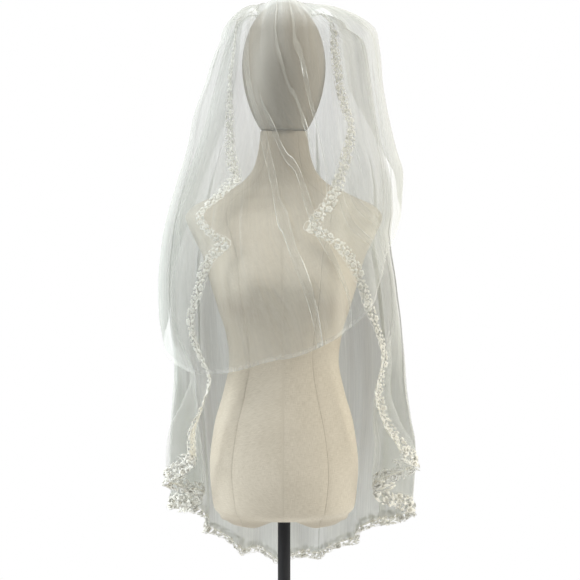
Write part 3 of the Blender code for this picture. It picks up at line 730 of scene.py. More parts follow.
@dataclass(frozen=True)
class PaintedShade:
    """Painted shade on the torso's linen: over the neck, round the waist, under the bust, and a painted
    shadow along the lower edge.
    """

    neck: float = 0.98
    neck_from: float = 1.20
    neck_rise: float = 0.17
    neck_sides: float = 0.25
    neck_half: float = 0.05
    waist: float = 0.24
    waist_height: float = 1.025
    waist_spread: float = 0.055
    bust: float = 0.45
    bust_across: float = 0.086
    bust_half: float = 0.040
    bust_height: float = 1.070
    bust_drop: float = 0.030
    edge: float = 0.45
    edge_rise: float = 0.0035
    edge_fade: float = 0.0025
    most: float = 0.96

    def at(self, points: Floats) -> Floats:
        """Painted shade at points of the torso, a sum of smooth steps and bells.

        It steps up over the neck, less at its sides, and along the lower edge. It is a bell
        in height round the waist, and one in height and across under each side of the bust.

        Args:
            points: The torso's points.

        Returns:
            The share of the seams' colour in the linen's.
        """
        aside = np.abs(points[..., 0])
        height = points[..., 2]
        worn_and_shaded = self.neck * ease((height - self.neck_from) / self.neck_rise)
        worn_and_shaded = worn_and_shaded * (1 - self.neck_sides * ease(aside / self.neck_half))
        worn_and_shaded = worn_and_shaded + self.waist * np.exp(-((height - self.waist_height) / self.waist_spread) ** 2)
        beside = (aside - self.bust_across) / self.bust_half
        below = (height - self.bust_height) / self.bust_drop
        worn_and_shaded = worn_and_shaded + self.bust * np.exp(-beside ** 2 - below ** 2) * (points[..., 1] < 0)
        lowest = TORSO_SECTIONS[0].height + self.edge_rise
        worn_and_shaded = worn_and_shaded + self.edge * ease((lowest - height) / self.edge_fade)
        return np.minimum(worn_and_shaded, self.most)


@dataclass(frozen=True)
class DressForm:
    """The limbless torso with its neck, and the egg head that stands on it."""

    # Painted shade on the torso's linen.
    wear_and_shade: PaintedShade = PaintedShade()
    lobe_drop: float = 0.016
    gathers: int = 26
    gather_depth: float = 0.0011
    rim_drop: float = 0.0012
    neck_top: float = 1.404
    joint_gap: float = 0.0003
    bust_height: float = 1.112
    bust_spread: float = 0.074
    bust_reach: float = 0.026
    bust_radius: float = 0.062
    head_centre: tuple[float, float, float] = (0.0, -0.005, 1.525)
    head_half: tuple[float, float, float] = (0.080, 0.095, 0.123)
    head_drop: float = 0.150
    chin_taper: float = 0.12
    segments: int = 240
    torso_rings: int = 210
    under_rings: int = 26
    head_rings: int = 110

    def crown_height(self, x: Floats, y: Floats) -> Floats:
        """Height of the head's upper surface over a plan point."""
        inside = (1 - ((x - self.head_centre[0]) / self.head_half[0]) ** 2
                  - ((y - self.head_centre[1]) / self.head_half[1]) ** 2)
        return self.head_centre[2] + self.head_half[2] * np.sqrt(np.maximum(inside, 0.0))

    def torso_surface(self, height: Floats, turn: Floats) -> Floats:
        """Points of the torso at arrays of heights and turns round it.

        Each cross-section is a superellipse with its own reach to the front and back. A
        bell-shaped swelling is added in front of each side for the bust.

        Args:
            height: Heights.
            turn: Turns round the torso, of the same shape.

        Returns:
            The points.
        """
        half = follow(TORSO_SECTIONS, "half", height)
        front = follow(TORSO_SECTIONS, "front", height)
        back = follow(TORSO_SECTIONS, "back", height)
        power = 2 / follow(TORSO_SECTIONS, "squareness", height)
        x = half * np.sign(np.cos(turn)) * np.abs(np.cos(turn)) ** power
        reach = np.where(np.sin(turn) < 0, -front, back)
        y = reach * np.sign(np.sin(turn)) * np.abs(np.sin(turn)) ** power
        for side in (-1, 1):
            away = (((x - side * self.bust_spread) / self.bust_radius) ** 2
                    + ((height - self.bust_height) / self.bust_radius) ** 2)
            y = np.where(y < 0, y - self.bust_reach * np.exp(-away) * (y / front), y)
        return np.stack((x, y, height), axis=-1)

    def torso_seams(self, points: Floats) -> tuple[Floats, Floats]:
        """Distances of points of the torso from its sewn seams.

        The seams run down the middle in front and behind, down a princess line on each
        side, down the sides and over the shoulders, round the arm plates and the neck.

        Args:
            points: The torso's points.

        Returns:
            How far each is aside of the princess line, negative inside it, and its distance
            from the nearest of the other seams.
        """
        x, y, z = points[..., 0], points[..., 1], points[..., 2]
        half = follow(TORSO_SECTIONS, "half", z)
        share = np.where(y < 0, follow(SEAM_LINES, "front", z), follow(SEAM_LINES, "back", z))
        lean = np.where(y < 0, -0.05, 0.0) * half
        princess = np.abs(x - lean) - share * half
        plate = np.abs(np.abs(x) - follow(ARMHOLES, "across", z))
        side = np.where(np.abs(x) > 0.45 * half, np.abs(y - 0.004), 1.0)
        outside_plate = np.abs(x) < follow(ARMHOLES, "across", z)
        middle = np.abs(x) + 0.0006 + 0.001 * ease((z - 0.86) / 0.06)
        seams = (middle, plate, np.where(outside_plate, side, 1.0), np.abs(z - self.neck_top))
        return princess + 0.0002, np.minimum.reduce(seams)

    def add_torso(self, linen: bpy.types.Material) -> None:
        """Make the torso: its underside arched over the pole, then its sections to the neck.

        The underside's rings are shares of the lowest section. They hang as two lobes with
        small gathers that die out towards the edge, and the neck's rim is slightly rounded.

        Args:
            linen: The material.
        """
        turn = np.linspace(0, 2 * math.pi, self.segments, endpoint=False)[None, :] - math.pi / 2
        bottom = TORSO_SECTIONS[0].height
        top = TORSO_SECTIONS[-1].height
        base = self.torso_surface(np.full_like(turn, bottom), turn)[0]
        share = np.linspace(0.14, 0.985, self.under_rings)[:, None]
        apart = ease((np.abs(base[None, :, 0] * share) - 0.010) / 0.055)
        lobes = apart * (1 - ease((share - 0.80) / 0.20))
        edge = -0.001 + 0.006 * ease((np.abs(base[None, :, 0]) - 0.022) / 0.05)
        fade = ease(share / 0.2) * (1 - ease((share - 0.3) / 0.4))
        gathers = self.gather_depth * np.sin(self.gathers * turn) * fade
        drop = self.lobe_drop * lobes + edge * ease((share - 0.75) / 0.25) + gathers
        under = np.stack((base[None, :, 0] * share, base[None, :, 1] * share, bottom - drop), axis=-1)
        height = bottom + (top - bottom) * np.linspace(0, 1, self.torso_rings)[:, None] ** 1.03
        rings = self.torso_surface(np.broadcast_to(height, (self.torso_rings, self.segments)),
                                   np.broadcast_to(turn, (self.torso_rings, self.segments)))
        rings[0, :, 2] -= edge[0]
        rim = rings[-1:].copy()
        rim[..., :2] *= 0.975
        rings[-1, :, 2] -= self.rim_drop
        points = np.concatenate((under, rings, rim))
        princess, seam = self.torso_seams(points)
        # The torso's painted shade: darker over the neck, round the waist, under the bust and along the
        # lower edge.
        piece = add_body("linen_torso", linen, points,
                         {"princess": princess, "seam": seam, "worn_and_shaded": self.wear_and_shade.at(points)})
        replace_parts(piece, "form_torso")

    def add_head(self, linen: bpy.types.Material) -> None:
        """Make the egg head: an ellipsoid, longer below its middle and narrowed to the chin.

        At each angle below the middle the ring's radius is the ellipsoid's, narrowed by the
        chin's share of the depth to the power 1.5. The neck cuts it off flat.

        Args:
            linen: The material.
        """
        floor = self.neck_top + self.joint_gap
        lowest = math.asin((floor - self.head_centre[2]) / self.head_drop)
        rise = np.linspace(lowest, math.pi / 2 - 0.02, self.head_rings)[:, None]
        turn = np.linspace(0, 2 * math.pi, self.segments, endpoint=False)[None, :] - math.pi / 2
        deep = np.maximum(-np.sin(rise), 0.0)
        radius = np.cos(rise) * (1 - self.chin_taper * deep ** 1.5)
        tall = np.where(rise < 0, self.head_drop, self.head_half[2])
        x = self.head_centre[0] + self.head_half[0] * radius * np.cos(turn)
        y = self.head_centre[1] + self.head_half[1] * radius * np.sin(turn)
        z = np.broadcast_to(self.head_centre[2] + tall * np.sin(rise), x.shape)
        rings = np.stack((x, y, z), axis=-1)
        rim = rings[:1].copy()
        middle = rim.mean(1, keepdims=True)
        rim = middle + (rim - middle) * 0.97
        rings[0, :, 2] += self.rim_drop
        points = np.concatenate((rim, rings))
        seam = np.minimum(np.abs(points[..., 2] - floor), np.abs(points[..., 1] - self.head_centre[1]))
        piece = add_body("linen_head", linen, points,
                         {"princess": np.ones_like(seam), "seam": seam, "worn_and_shaded": np.zeros_like(seam)})
        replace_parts(piece, "form_head")


@dataclass(frozen=True)
class Stand:
    """The painted steel pole, and the base plate with its collar."""

    base_radius: float = 0.160
    base_thickness: float = 0.010
    collar_radius: float = 0.021
    collar_top: float = 0.048
    socket_floor: float = 0.006
    pole_radius: float = 0.0125
    pole_top: float = 0.652
    gap: float = 0.0003
    rim: float = 0.003
    pole_edge: float = 0.001
    pole_rings: int = 40
    segments: int = 128

    def turned(self, name: str, profile: Floats, paint: bpy.types.Material) -> bpy.types.Object:
        """Turn a profile round the stand's axis.

        Args:
            name: The piece's name.
            profile: Its radii and heights.
            paint: The material.

        Returns:
            The object.
        """
        turn = np.linspace(0, 2 * math.pi, self.segments, endpoint=False)
        radius = profile[:, :1]
        height = np.broadcast_to(profile[:, 1:], (len(profile), self.segments))
        rings = np.stack((radius * np.cos(turn), radius * np.sin(turn), height), axis=-1)
        return add_body(name, paint, rings)

    def arc(self, centre: tuple[float, float], radius: float, start: float, end: float) -> Floats:
        """Nine points of an arc in the profile, from one angle in degrees to another."""
        angle = np.radians(np.linspace(start, end, 9))
        return np.stack((centre[0] + radius * np.cos(angle), centre[1] + radius * np.sin(angle)), axis=-1)

    def add(self, paint: bpy.types.Material) -> None:
        """Make the pole with its broken edges, and the base with its fillet, rim and socket.

        Args:
            paint: The material.
        """
        rim = self.rim
        small = self.pole_edge
        heights = np.linspace(0.012, self.pole_top - 0.004, self.pole_rings)
        pole = np.concatenate((
            self.arc((self.pole_radius - small, self.socket_floor + self.gap + small), small, -90, 0),
            np.stack((np.full_like(heights, self.pole_radius), heights), axis=-1),
            self.arc((self.pole_radius - small, self.pole_top - self.gap - small), small, 0, 90)))
        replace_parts(self.turned("painted_pole", pole, paint), "stand_pole")
        socket = self.pole_radius + self.gap
        fillet = 2 * rim
        base = np.concatenate((
            ((self.base_radius * 0.5, 0.0),),
            self.arc((self.base_radius - rim, rim), rim, -90, 0),
            self.arc((self.base_radius - rim, self.base_thickness - rim), rim, 0, 90),
            ((self.base_radius * 0.6, self.base_thickness),),
            self.arc((self.collar_radius + fillet, self.base_thickness + fillet), fillet, -90, -180),
            self.arc((self.collar_radius - rim / 2, self.collar_top - rim / 2), rim / 2, 0, 90),
            ((socket, self.collar_top), (socket, self.socket_floor))))
        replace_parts(self.turned("painted_base", base, paint), "stand_base")


# ---- comb and band


@dataclass(frozen=True)
class Headpiece:
    """The comb on the crown, and the satin band over it that the gathers are sewn to."""

    form: DressForm = DressForm()
    comb_half: float = 0.042
    comb_depth: float = 0.046
    comb_bow: float = 0.010
    lift: float = 0.0086
    band_radius: float = 0.0060
    band_share: float = 0.86
    band_rings: int = 181
    band_segments: int = 36
    band_end: float = 0.05
    puckers: int = 34
    pucker_depth: float = 0.12

    def comb_line(self, across: Floats) -> Floats:
        """Points along the comb on the crown, which bows back as a parabola.

        Args:
            across: Places from -1 at its left end to 1.

        Returns:
            The points.
        """
        x = self.comb_half * across
        y = self.comb_depth + self.comb_bow * (1 - across ** 2)
        return np.stack((x, y, self.form.crown_height(x, y)), axis=-1)

    def band_line(self, across: Floats, turn: float, away: float) -> Floats:
        """Points at a distance round the band's centre line.

        Args:
            across: Places along the comb, from -1 to 1.
            turn: Turn back from the head's normal, in radians.
            away: Distance from the centre line.

        Returns:
            The points.
        """
        foot = self.comb_line(across)
        normal = unit((foot - np.array(self.form.head_centre)) / np.array(self.form.head_half) ** 2)
        rearward = unit(np.stack((np.zeros_like(across), normal[..., 2], -normal[..., 1]), axis=-1))
        return foot + normal * (self.lift + away * math.cos(turn)) + rearward * away * math.sin(turn)

    def add_band(self, satin: bpy.types.Material) -> None:
        """Make the band: a tube along its line, drawn in by puckers and rounded at both ends.

        The radius is the full one, less the puckers' share in a wave along the band that
        shifts round the tube, times the root of the distance to the nearer end.

        Args:
            satin: The material.
        """
        along = np.linspace(-1, 1, self.band_rings)
        line = self.band_line(along * self.band_share, 0.0, 0.0)
        tangent = unit(np.gradient(line, axis=0))
        upward = unit(line - np.array(self.form.head_centre))
        aside = unit(np.cross(tangent, upward))
        upward = np.cross(aside, tangent)
        turn = np.linspace(0, 2 * math.pi, self.band_segments, endpoint=False)
        ends = np.sqrt(np.clip((1 - np.abs(along)) / self.band_end, 0.04, 1.0))[:, None]
        drawn = 0.5 + 0.5 * np.sin(math.pi * self.puckers * along[:, None] + 0.9 * np.sin(3 * turn))
        radius = self.band_radius * ends * (1 - self.pucker_depth * drawn)
        rings = (line[:, None] + (radius * np.cos(turn))[..., None] * aside[:, None]
                 + (radius * np.sin(turn))[..., None] * upward[:, None])
        piece = add_body("satin_band", satin, rings[:, ::-1])
        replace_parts(piece, "gather_band")

    def dress_comb(self, plastic: bpy.types.Material) -> None:
        """Give the comb's own solid its moulded finish.

        Args:
            plastic: The material.
        """
        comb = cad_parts["comb"]
        comb.data.materials.clear()
        comb.data.materials.append(plastic)
        log.info("comb: kept")


# ---- tulle


class Ring(NamedTuple):
    """Plan outline of a tier at one height: its sides, and its far end away from the opening."""

    height: float
    left: float
    right: float
    side: float
    far: float


class Edge(NamedTuple):
    """Where a tier's free edge passes at one height."""

    height: float
    across: float
    depth: float


class Level(NamedTuple):
    """A height at one place across the cloth: the hem's, or its rise between comb and brow."""

    place: float
    height: float


class Fold(NamedTuple):
    """One soft fold: its place, half width and depth, and the heights where it starts and is full."""

    place: float
    half: float
    depth: float
    top: float
    full: float


class Gather(NamedTuple):
    """The gathered edge over the band: its turn back round the band, depth, spread and lift."""

    turn: float
    centre: float
    reach: float
    lift: float
    end_lift: float


class Crease(NamedTuple):
    """Where a pleat passes at one height, its half width, and how far it is folded over."""

    height: float
    place: float
    half: float
    strength: float


class Ripple(NamedTuple):
    """A run of fine ripples: waves across the cloth, their depth, phase and lean."""

    count: float
    depth: float
    phase: float
    lean: float


LONG_RINGS = table(
    Ring,
    (1.605, -0.092, 0.118, 0.030, 0.112), (1.580, -0.105, 0.152, 0.032, 0.122),
    (1.500, -0.130, 0.168, 0.034, 0.142), (1.400, -0.160, 0.186, 0.036, 0.160),
    (1.330, -0.186, 0.205, 0.036, 0.168), (1.290, -0.199, 0.212, 0.034, 0.170),
    (1.250, -0.209, 0.214, 0.032, 0.170), (1.200, -0.218, 0.209, 0.030, 0.168),
    (1.110, -0.226, 0.220, 0.028, 0.166), (1.020, -0.224, 0.229, 0.028, 0.166),
    (0.915, -0.221, 0.235, 0.028, 0.168), (0.800, -0.208, 0.230, 0.028, 0.172),
    (0.650, -0.200, 0.220, 0.028, 0.178), (0.480, -0.200, 0.216, 0.028, 0.184),
)
LONG_LEFT = table(
    Edge,
    (1.605, -0.089, -0.008), (1.560, -0.091, -0.025), (1.490, -0.097, -0.035), (1.426, -0.093, -0.042),
    (1.366, -0.090, -0.047), (1.312, -0.078, -0.060), (1.275, -0.112, -0.078), (1.241, -0.148, -0.092),
    (1.212, -0.126, -0.104), (1.194, -0.094, -0.112), (1.152, -0.130, -0.113), (1.093, -0.150, -0.112),
    (1.045, -0.165, -0.108), (0.988, -0.151, -0.108), (0.938, -0.134, -0.102), (0.885, -0.153, -0.099),
    (0.827, -0.181, -0.096), (0.780, -0.184, -0.093), (0.480, -0.184, -0.093),
)
LONG_RIGHT = table(
    Edge,
    (1.605, 0.086, -0.008), (1.560, 0.087, -0.020), (1.490, 0.094, -0.036), (1.441, 0.106, -0.046),
    (1.402, 0.117, -0.056), (1.361, 0.106, -0.062), (1.312, 0.091, -0.066), (1.275, 0.076, -0.080),
    (1.241, 0.050, -0.098), (1.216, 0.034, -0.110), (1.194, 0.078, -0.116), (1.152, 0.114, -0.117),
    (1.109, 0.135, -0.115), (1.075, 0.146, -0.111), (1.011, 0.173, -0.104), (0.973, 0.180, -0.106),
    (0.905, 0.169, -0.097), (0.847, 0.186, -0.093), (0.788, 0.220, -0.088), (0.480, 0.220, -0.088),
)
LONG_HEM = table(
    Level,
    (0.000, 0.780), (0.035, 0.764), (0.080, 0.722), (0.125, 0.684), (0.175, 0.660), (0.215, 0.648),
    (0.275, 0.630), (0.320, 0.584), (0.365, 0.556), (0.405, 0.522), (0.440, 0.516), (0.480, 0.497),
    (0.545, 0.505), (0.590, 0.527), (0.630, 0.545), (0.670, 0.583), (0.710, 0.602), (0.780, 0.620),
    (0.825, 0.642), (0.880, 0.690), (0.950, 0.758), (1.000, 0.786),
)
LONG_FOLDS = table(
    Fold,
    (0.035, 0.045, -0.022, 1.000, 0.790), (0.082, 0.045, 0.036, 1.000, 0.760),
    (0.128, 0.042, -0.040, 1.100, 0.740), (0.175, 0.042, 0.026, 1.000, 0.720),
    (0.217, 0.040, -0.030, 1.150, 0.700), (0.258, 0.042, 0.018, 1.150, 0.680),
    (0.300, 0.042, -0.020, 1.250, 0.700), (0.345, 0.045, 0.022, 1.350, 0.650),
    (0.395, 0.045, -0.018, 1.350, 0.700), (0.440, 0.042, 0.016, 1.400, 0.650),
    (0.482, 0.040, -0.018, 1.350, 0.650), (0.525, 0.044, 0.020, 1.400, 0.650),
    (0.570, 0.044, -0.017, 1.350, 0.650), (0.615, 0.044, 0.018, 1.400, 0.650),
    (0.660, 0.042, -0.020, 1.350, 0.700), (0.705, 0.042, 0.016, 1.250, 0.680),
    (0.745, 0.040, -0.020, 1.250, 0.700), (0.790, 0.042, 0.008, 1.150, 0.700),
    (0.832, 0.045, 0.034, 1.100, 0.720), (0.885, 0.048, -0.050, 1.150, 0.740),
    (0.945, 0.045, 0.030, 1.050, 0.790),
)
LONG_RISES = table(
    Level,
    (0.00, 0.004), (0.50, 0.004), (0.80, 0.007), (1.00, 0.004),
)
LONG_PLEATS = (
    table(Crease, (1.56, 0.130, 0.010, 0.0), (1.40, 0.128, 0.011, 0.9), (1.05, 0.126, 0.012, 1.0),
          (0.80, 0.124, 0.012, 0.3)),
    table(Crease, (1.50, 0.168, 0.008, 0.0), (1.35, 0.170, 0.009, 0.9), (1.10, 0.172, 0.010, 0.8),
          (0.90, 0.172, 0.010, 0.0)),
    table(Crease, (1.45, 0.330, 0.012, 0.0), (1.25, 0.332, 0.014, 0.9), (0.70, 0.334, 0.014, 0.5)),
    table(Crease, (1.50, 0.560, 0.012, 0.0), (1.30, 0.560, 0.014, 0.9), (0.65, 0.562, 0.016, 0.5)),
    table(Crease, (1.45, 0.700, 0.012, 0.0), (1.20, 0.698, 0.012, 0.9), (0.80, 0.696, 0.014, 0.4)),
    table(Crease, (1.30, 0.834, 0.008, 0.0), (1.16, 0.836, 0.009, 0.9), (0.80, 0.838, 0.010, 0.6)),
    table(Crease, (1.52, 0.872, 0.010, 0.0), (1.38, 0.872, 0.011, 0.9), (0.95, 0.874, 0.012, 0.9),
          (0.78, 0.876, 0.012, 0.2)),
)
LONG_RIPPLES = table(
    Ripple,
    (41.0, 0.00028, 0.10, 0.0),
    (58.0, 0.00022, 0.43, 1.4),
    (83.0, 0.00016, 0.71, -2.0),
)

BLUSHER_RINGS = table(
    Ring,
    (1.580, -0.118, 0.178, 0.034, -0.114), (1.545, -0.134, 0.184, 0.036, -0.118),
    (1.500, -0.149, 0.189, 0.038, -0.122), (1.430, -0.175, 0.201, 0.038, -0.126),
    (1.370, -0.188, 0.213, 0.038, -0.128), (1.320, -0.203, 0.225, 0.036, -0.132),
    (1.270, -0.217, 0.222, 0.034, -0.138), (1.200, -0.232, 0.218, 0.032, -0.152),
    (1.110, -0.239, 0.222, 0.030, -0.162), (1.050, -0.238, 0.224, 0.028, -0.160),
    (1.000, -0.230, 0.224, 0.026, -0.154), (0.930, -0.218, 0.218, 0.024, -0.138),
)
BLUSHER_LEFT = table(
    Edge,
    (1.580, -0.088, 0.094), (1.480, -0.104, 0.132), (1.300, -0.150, 0.150), (0.930, -0.200, 0.130),
)
BLUSHER_RIGHT = table(
    Edge,
    (1.580, 0.118, 0.108), (1.480, 0.134, 0.134), (1.300, 0.165, 0.150), (0.930, 0.200, 0.130),
)
BLUSHER_HEM = table(
    Level,
    (0.000, 1.480), (0.030, 1.370), (0.070, 1.220), (0.120, 1.100), (0.170, 1.040), (0.205, 1.012),
    (0.270, 0.968), (0.340, 0.952), (0.400, 0.948), (0.445, 0.955), (0.500, 0.979), (0.560, 1.018),
    (0.600, 1.044), (0.640, 1.088), (0.685, 1.148), (0.730, 1.195), (0.780, 1.262), (0.820, 1.295),
    (0.880, 1.360), (0.940, 1.430), (1.000, 1.500),
)
BLUSHER_FOLDS = table(
    Fold,
    (0.100, 0.050, 0.008, 1.450, 1.150), (0.160, 0.050, -0.006, 1.450, 1.150),
    (0.240, 0.060, 0.006, 1.400, 1.100), (0.360, 0.035, 0.008, 1.250, 0.970),
    (0.420, 0.030, -0.006, 1.200, 0.970), (0.555, 0.025, 0.010, 1.560, 1.050),
    (0.590, 0.025, -0.006, 1.500, 1.050), (0.630, 0.030, 0.008, 1.500, 1.150),
    (0.700, 0.035, -0.006, 1.450, 1.200), (0.760, 0.040, 0.008, 1.500, 1.300),
)
BLUSHER_RISES = table(
    Level,
    (0.00, 0.018), (0.10, 0.012), (0.22, 0.003), (0.50, 0.006), (0.78, 0.002), (0.90, 0.008), (1.00, 0.018),
)
BLUSHER_PLEATS = (
    table(Crease, (1.60, 0.290, 0.010, 0.2), (1.45, 0.295, 0.012, 0.7), (1.20, 0.300, 0.014, 0.7),
          (1.00, 0.305, 0.014, 0.2)),
    table(Crease, (1.600, 0.380, 0.007, 0.5), (1.584, 0.387, 0.007, 0.9), (1.492, 0.424, 0.008, 1.0),
          (1.447, 0.456, 0.009, 1.0), (1.408, 0.470, 0.013, 1.0), (1.373, 0.475, 0.014, 1.0),
          (1.311, 0.489, 0.014, 1.0), (1.245, 0.499, 0.015, 1.0), (1.198, 0.504, 0.016, 1.0),
          (1.147, 0.512, 0.015, 1.0), (1.108, 0.520, 0.013, 1.0), (1.056, 0.528, 0.010, 1.0),
          (0.997, 0.536, 0.008, 1.0)),
    table(Crease, (1.600, 0.410, 0.006, 0.0), (1.492, 0.447, 0.007, 0.0), (1.447, 0.470, 0.008, 0.8),
          (1.409, 0.483, 0.010, 1.0), (1.370, 0.494, 0.011, 1.0), (1.329, 0.503, 0.012, 1.0),
          (1.280, 0.515, 0.012, 1.0), (1.230, 0.528, 0.012, 1.0), (1.184, 0.546, 0.011, 1.0),
          (1.135, 0.562, 0.010, 0.9), (1.088, 0.580, 0.009, 0.8), (1.055, 0.591, 0.008, 0.7)),
    table(Crease, (1.600, 0.455, 0.007, 0.5), (1.565, 0.466, 0.007, 0.9), (1.536, 0.482, 0.008, 1.0),
          (1.483, 0.498, 0.009, 1.0), (1.428, 0.509, 0.009, 1.0), (1.381, 0.517, 0.008, 0.8),
          (1.310, 0.529, 0.007, 0.0), (1.200, 0.553, 0.007, 0.0), (1.000, 0.615, 0.007, 0.0)),
    table(Crease, (1.600, 0.488, 0.007, 0.5), (1.589, 0.494, 0.007, 0.9), (1.558, 0.500, 0.008, 1.0),
          (1.495, 0.511, 0.008, 1.0), (1.459, 0.518, 0.008, 0.9), (1.429, 0.526, 0.008, 0.8),
          (1.398, 0.531, 0.007, 0.7), (1.288, 0.541, 0.007, 0.6), (1.199, 0.563, 0.006, 0.0),
          (1.000, 0.635, 0.006, 0.0)),
    table(Crease, (1.600, 0.510, 0.007, 0.0), (1.450, 0.537, 0.007, 0.0), (1.360, 0.548, 0.007, 0.2),
          (1.307, 0.556, 0.008, 0.9), (1.241, 0.577, 0.010, 1.0), (1.192, 0.605, 0.010, 1.0),
          (1.166, 0.625, 0.009, 0.9), (1.000, 0.680, 0.008, 0.6)),
    table(Crease, (1.600, 0.530, 0.007, 0.0), (1.450, 0.556, 0.007, 0.0), (1.360, 0.566, 0.007, 0.2),
          (1.325, 0.571, 0.008, 0.9), (1.271, 0.592, 0.010, 1.0), (1.230, 0.617, 0.010, 1.0),
          (1.197, 0.643, 0.009, 0.9), (1.000, 0.700, 0.008, 0.6)),
    table(Crease, (1.600, 0.545, 0.006, 0.3), (1.581, 0.550, 0.007, 0.7), (1.471, 0.580, 0.008, 0.8),
          (1.362, 0.596, 0.008, 0.7), (1.271, 0.616, 0.007, 0.0), (1.200, 0.660, 0.007, 0.0),
          (1.000, 0.725, 0.007, 0.0)),
    table(Crease, (1.560, 0.690, 0.007, 0.0), (1.480, 0.695, 0.009, 0.8), (1.330, 0.700, 0.010, 0.7),
          (1.200, 0.725, 0.009, 0.0), (1.000, 0.760, 0.009, 0.0)),
)
BLUSHER_RIPPLES = table(
    Ripple,
    (47.0, 0.00025, 0.20, 0.6),
    (66.0, 0.00018, 0.55, -1.1),
    (91.0, 0.00012, 0.85, 1.8),
)


@dataclass(frozen=True)
class Tier:
    """A tier of tulle, gathered on the band and hanging to its hem.

    A point on it has a place across, from 0 at the left free edge to 1 at the right, and a
    fall, from 0 at the band to 1 at the hem. At each height the plan outline is a quarter
    ellipse from the left edge to the side, half a superellipse round the far end, and a
    quarter ellipse to the right edge. Low down, where the corners hang in folds, the quarter
    ellipses give way to straight lines. Between the band and the brow the cloth follows a
    quarter ellipse in height, stands up near the band as a low dome, and rests on the crown
    where it would pass through it.
    """

    rings: tuple[Ring, ...]
    left: tuple[Edge, ...]
    right: tuple[Edge, ...]
    hem: tuple[Level, ...]
    folds: tuple[Fold, ...]
    rises: tuple[Level, ...]
    pleats: tuple[tuple[Crease, ...], ...]
    ripples: tuple[Ripple, ...]
    flutes: int
    facing: int
    squareness: float
    gather: Gather
    dome: float = 0.0
    dome_skew: float = 0.6
    headpiece: Headpiece = Headpiece()
    corner: float = 0.2
    cap_share: float = 0.16
    seat: float = 0.0072
    wrap: float = math.radians(30)
    straight_top: float = 1.060
    straight_fade: float = 0.140
    flute_depth: float = 0.0042
    flute_inland: float = 0.22
    flute_fade: float = 0.260
    head_clear: float = 0.0085
    head_blend: float = 0.0040
    pleat_gauge: float = 1.30
    pleat_lowest: float = 0.45
    pleat_highest: float = 1.62
    pleat_levels: int = 118
    pleat_window: int = 13
    pleat_part: float = 0.0016
    fold_over: float = 0.90
    crease_place: float = 0.385
    crease_half: float = 0.05
    crease_dense: float = 0.95
    pleat_clear: float = 0.24
    ripple_growth: float = 0.5
    streaks: int = 61
    streak_waves: int = 7
    streak_dense: float = 0.14

    @property
    def brow(self) -> float:
        """Height where the cloth leaves the crown."""
        return self.rings[0].height

    def plan(self, place: Floats, height: Floats) -> tuple[Floats, Floats]:
        """Plan position of the smooth cloth, before folds.

        Args:
            place: Places across.
            height: Heights.

        Returns:
            X and Y.
        """
        left = follow(self.rings, "left", height)
        right = follow(self.rings, "right", height)
        side = follow(self.rings, "side", height)
        far = follow(self.rings, "far", height)
        round_far = np.clip((place - self.corner) / (1 - 2 * self.corner), 0, 1) * math.pi
        power = 2 / self.squareness
        swing = np.sign(np.cos(round_far)) * np.abs(np.cos(round_far)) ** power
        x = (left + right) / 2 - (right - left) / 2 * swing
        y = side + (far - side) * np.maximum(np.sin(round_far), 0.0) ** power
        straight = ease((self.straight_top - height) / self.straight_fade)
        for edge, reach, share in ((self.left, left, place), (self.right, right, 1 - place)):
            along = np.clip(share / self.corner, 0, 1)
            out = np.sin(along * math.pi / 2) * (1 - straight) + along * straight
            fore = np.cos(along * math.pi / 2) * (1 - straight) + (1 - along) * straight
            edge_x = follow(edge, "across", height)
            edge_y = follow(edge, "depth", height)
            at_edge = share < self.corner
            x = np.where(at_edge, edge_x + (reach - edge_x) * out, x)
            y = np.where(at_edge, side + (edge_y - side) * fore, y)
        return x, y

    def outward(self, place: Floats, height: Floats) -> tuple[Floats, Floats]:
        """Unit plan normal that points away from the wearer.

        Args:
            place: Places across.
            height: Heights.

        Returns:
            Its X and Y.
        """
        step = 0.001
        ahead_x, ahead_y = self.plan(np.minimum(place + step, 1), height)
        back_x, back_y = self.plan(np.maximum(place - step, 0), height)
        along_x = ahead_x - back_x
        along_y = ahead_y - back_y
        size = np.hypot(along_x, along_y) + 1e-9
        return -along_y / size * self.facing, along_x / size * self.facing

    def flute(self, place: Floats, fade: Floats) -> Floats:
        """Depth of the gathers that run down from the band."""
        inland = ease(np.minimum(place, 1 - place) / self.flute_inland)
        return self.flute_depth * fade * inland * np.sin(2 * math.pi * self.flutes * place)

    def skirt(self, place: Floats, height: Floats) -> tuple[Floats, Floats]:
        """Plan position of the hanging cloth with its folds, each a squared cosine across.

        Args:
            place: Places across.
            height: Heights.

        Returns:
            X and Y.
        """
        x, y = self.plan(place, height)
        normal_x, normal_y = self.outward(place, height)
        depth = self.flute(place, 1 - ease((self.brow - height) / self.flute_fade))
        for fold in self.folds:
            away = np.abs(place - fold.place) / fold.half
            bell = np.where(away < 1, np.cos(away * math.pi / 2) ** 2, 0.0)
            depth = depth + fold.depth * bell * ease((fold.top - height) / (fold.top - fold.full))
        return x + normal_x * depth, y + normal_y * depth

    def gathered(self, place: Floats) -> Floats:
        """Positions of the gathered edge, which wraps round the ends of the band.

        Args:
            place: Places across.

        Returns:
            The positions.
        """
        swing = self.wrap * (2 * place - 1) + math.pi * place
        along = -np.cos(swing)
        start = self.headpiece.band_line(along, self.gather.turn, self.seat)
        start[..., 1] = self.gather.centre + self.facing * self.gather.reach * np.sin(swing)
        start[..., 2] = start[..., 2] + self.gather.lift + self.gather.end_lift * along ** 2
        return start

    def height_at(self, place: Floats, fall: Floats) -> Floats:
        """Height of the hanging cloth, or the brow's where it still lies over the crown."""
        down = np.clip((fall - self.cap_share) / (1 - self.cap_share), 0, 1)
        return self.brow + (follow(self.hem, "height", place, key="place") - self.brow) * down

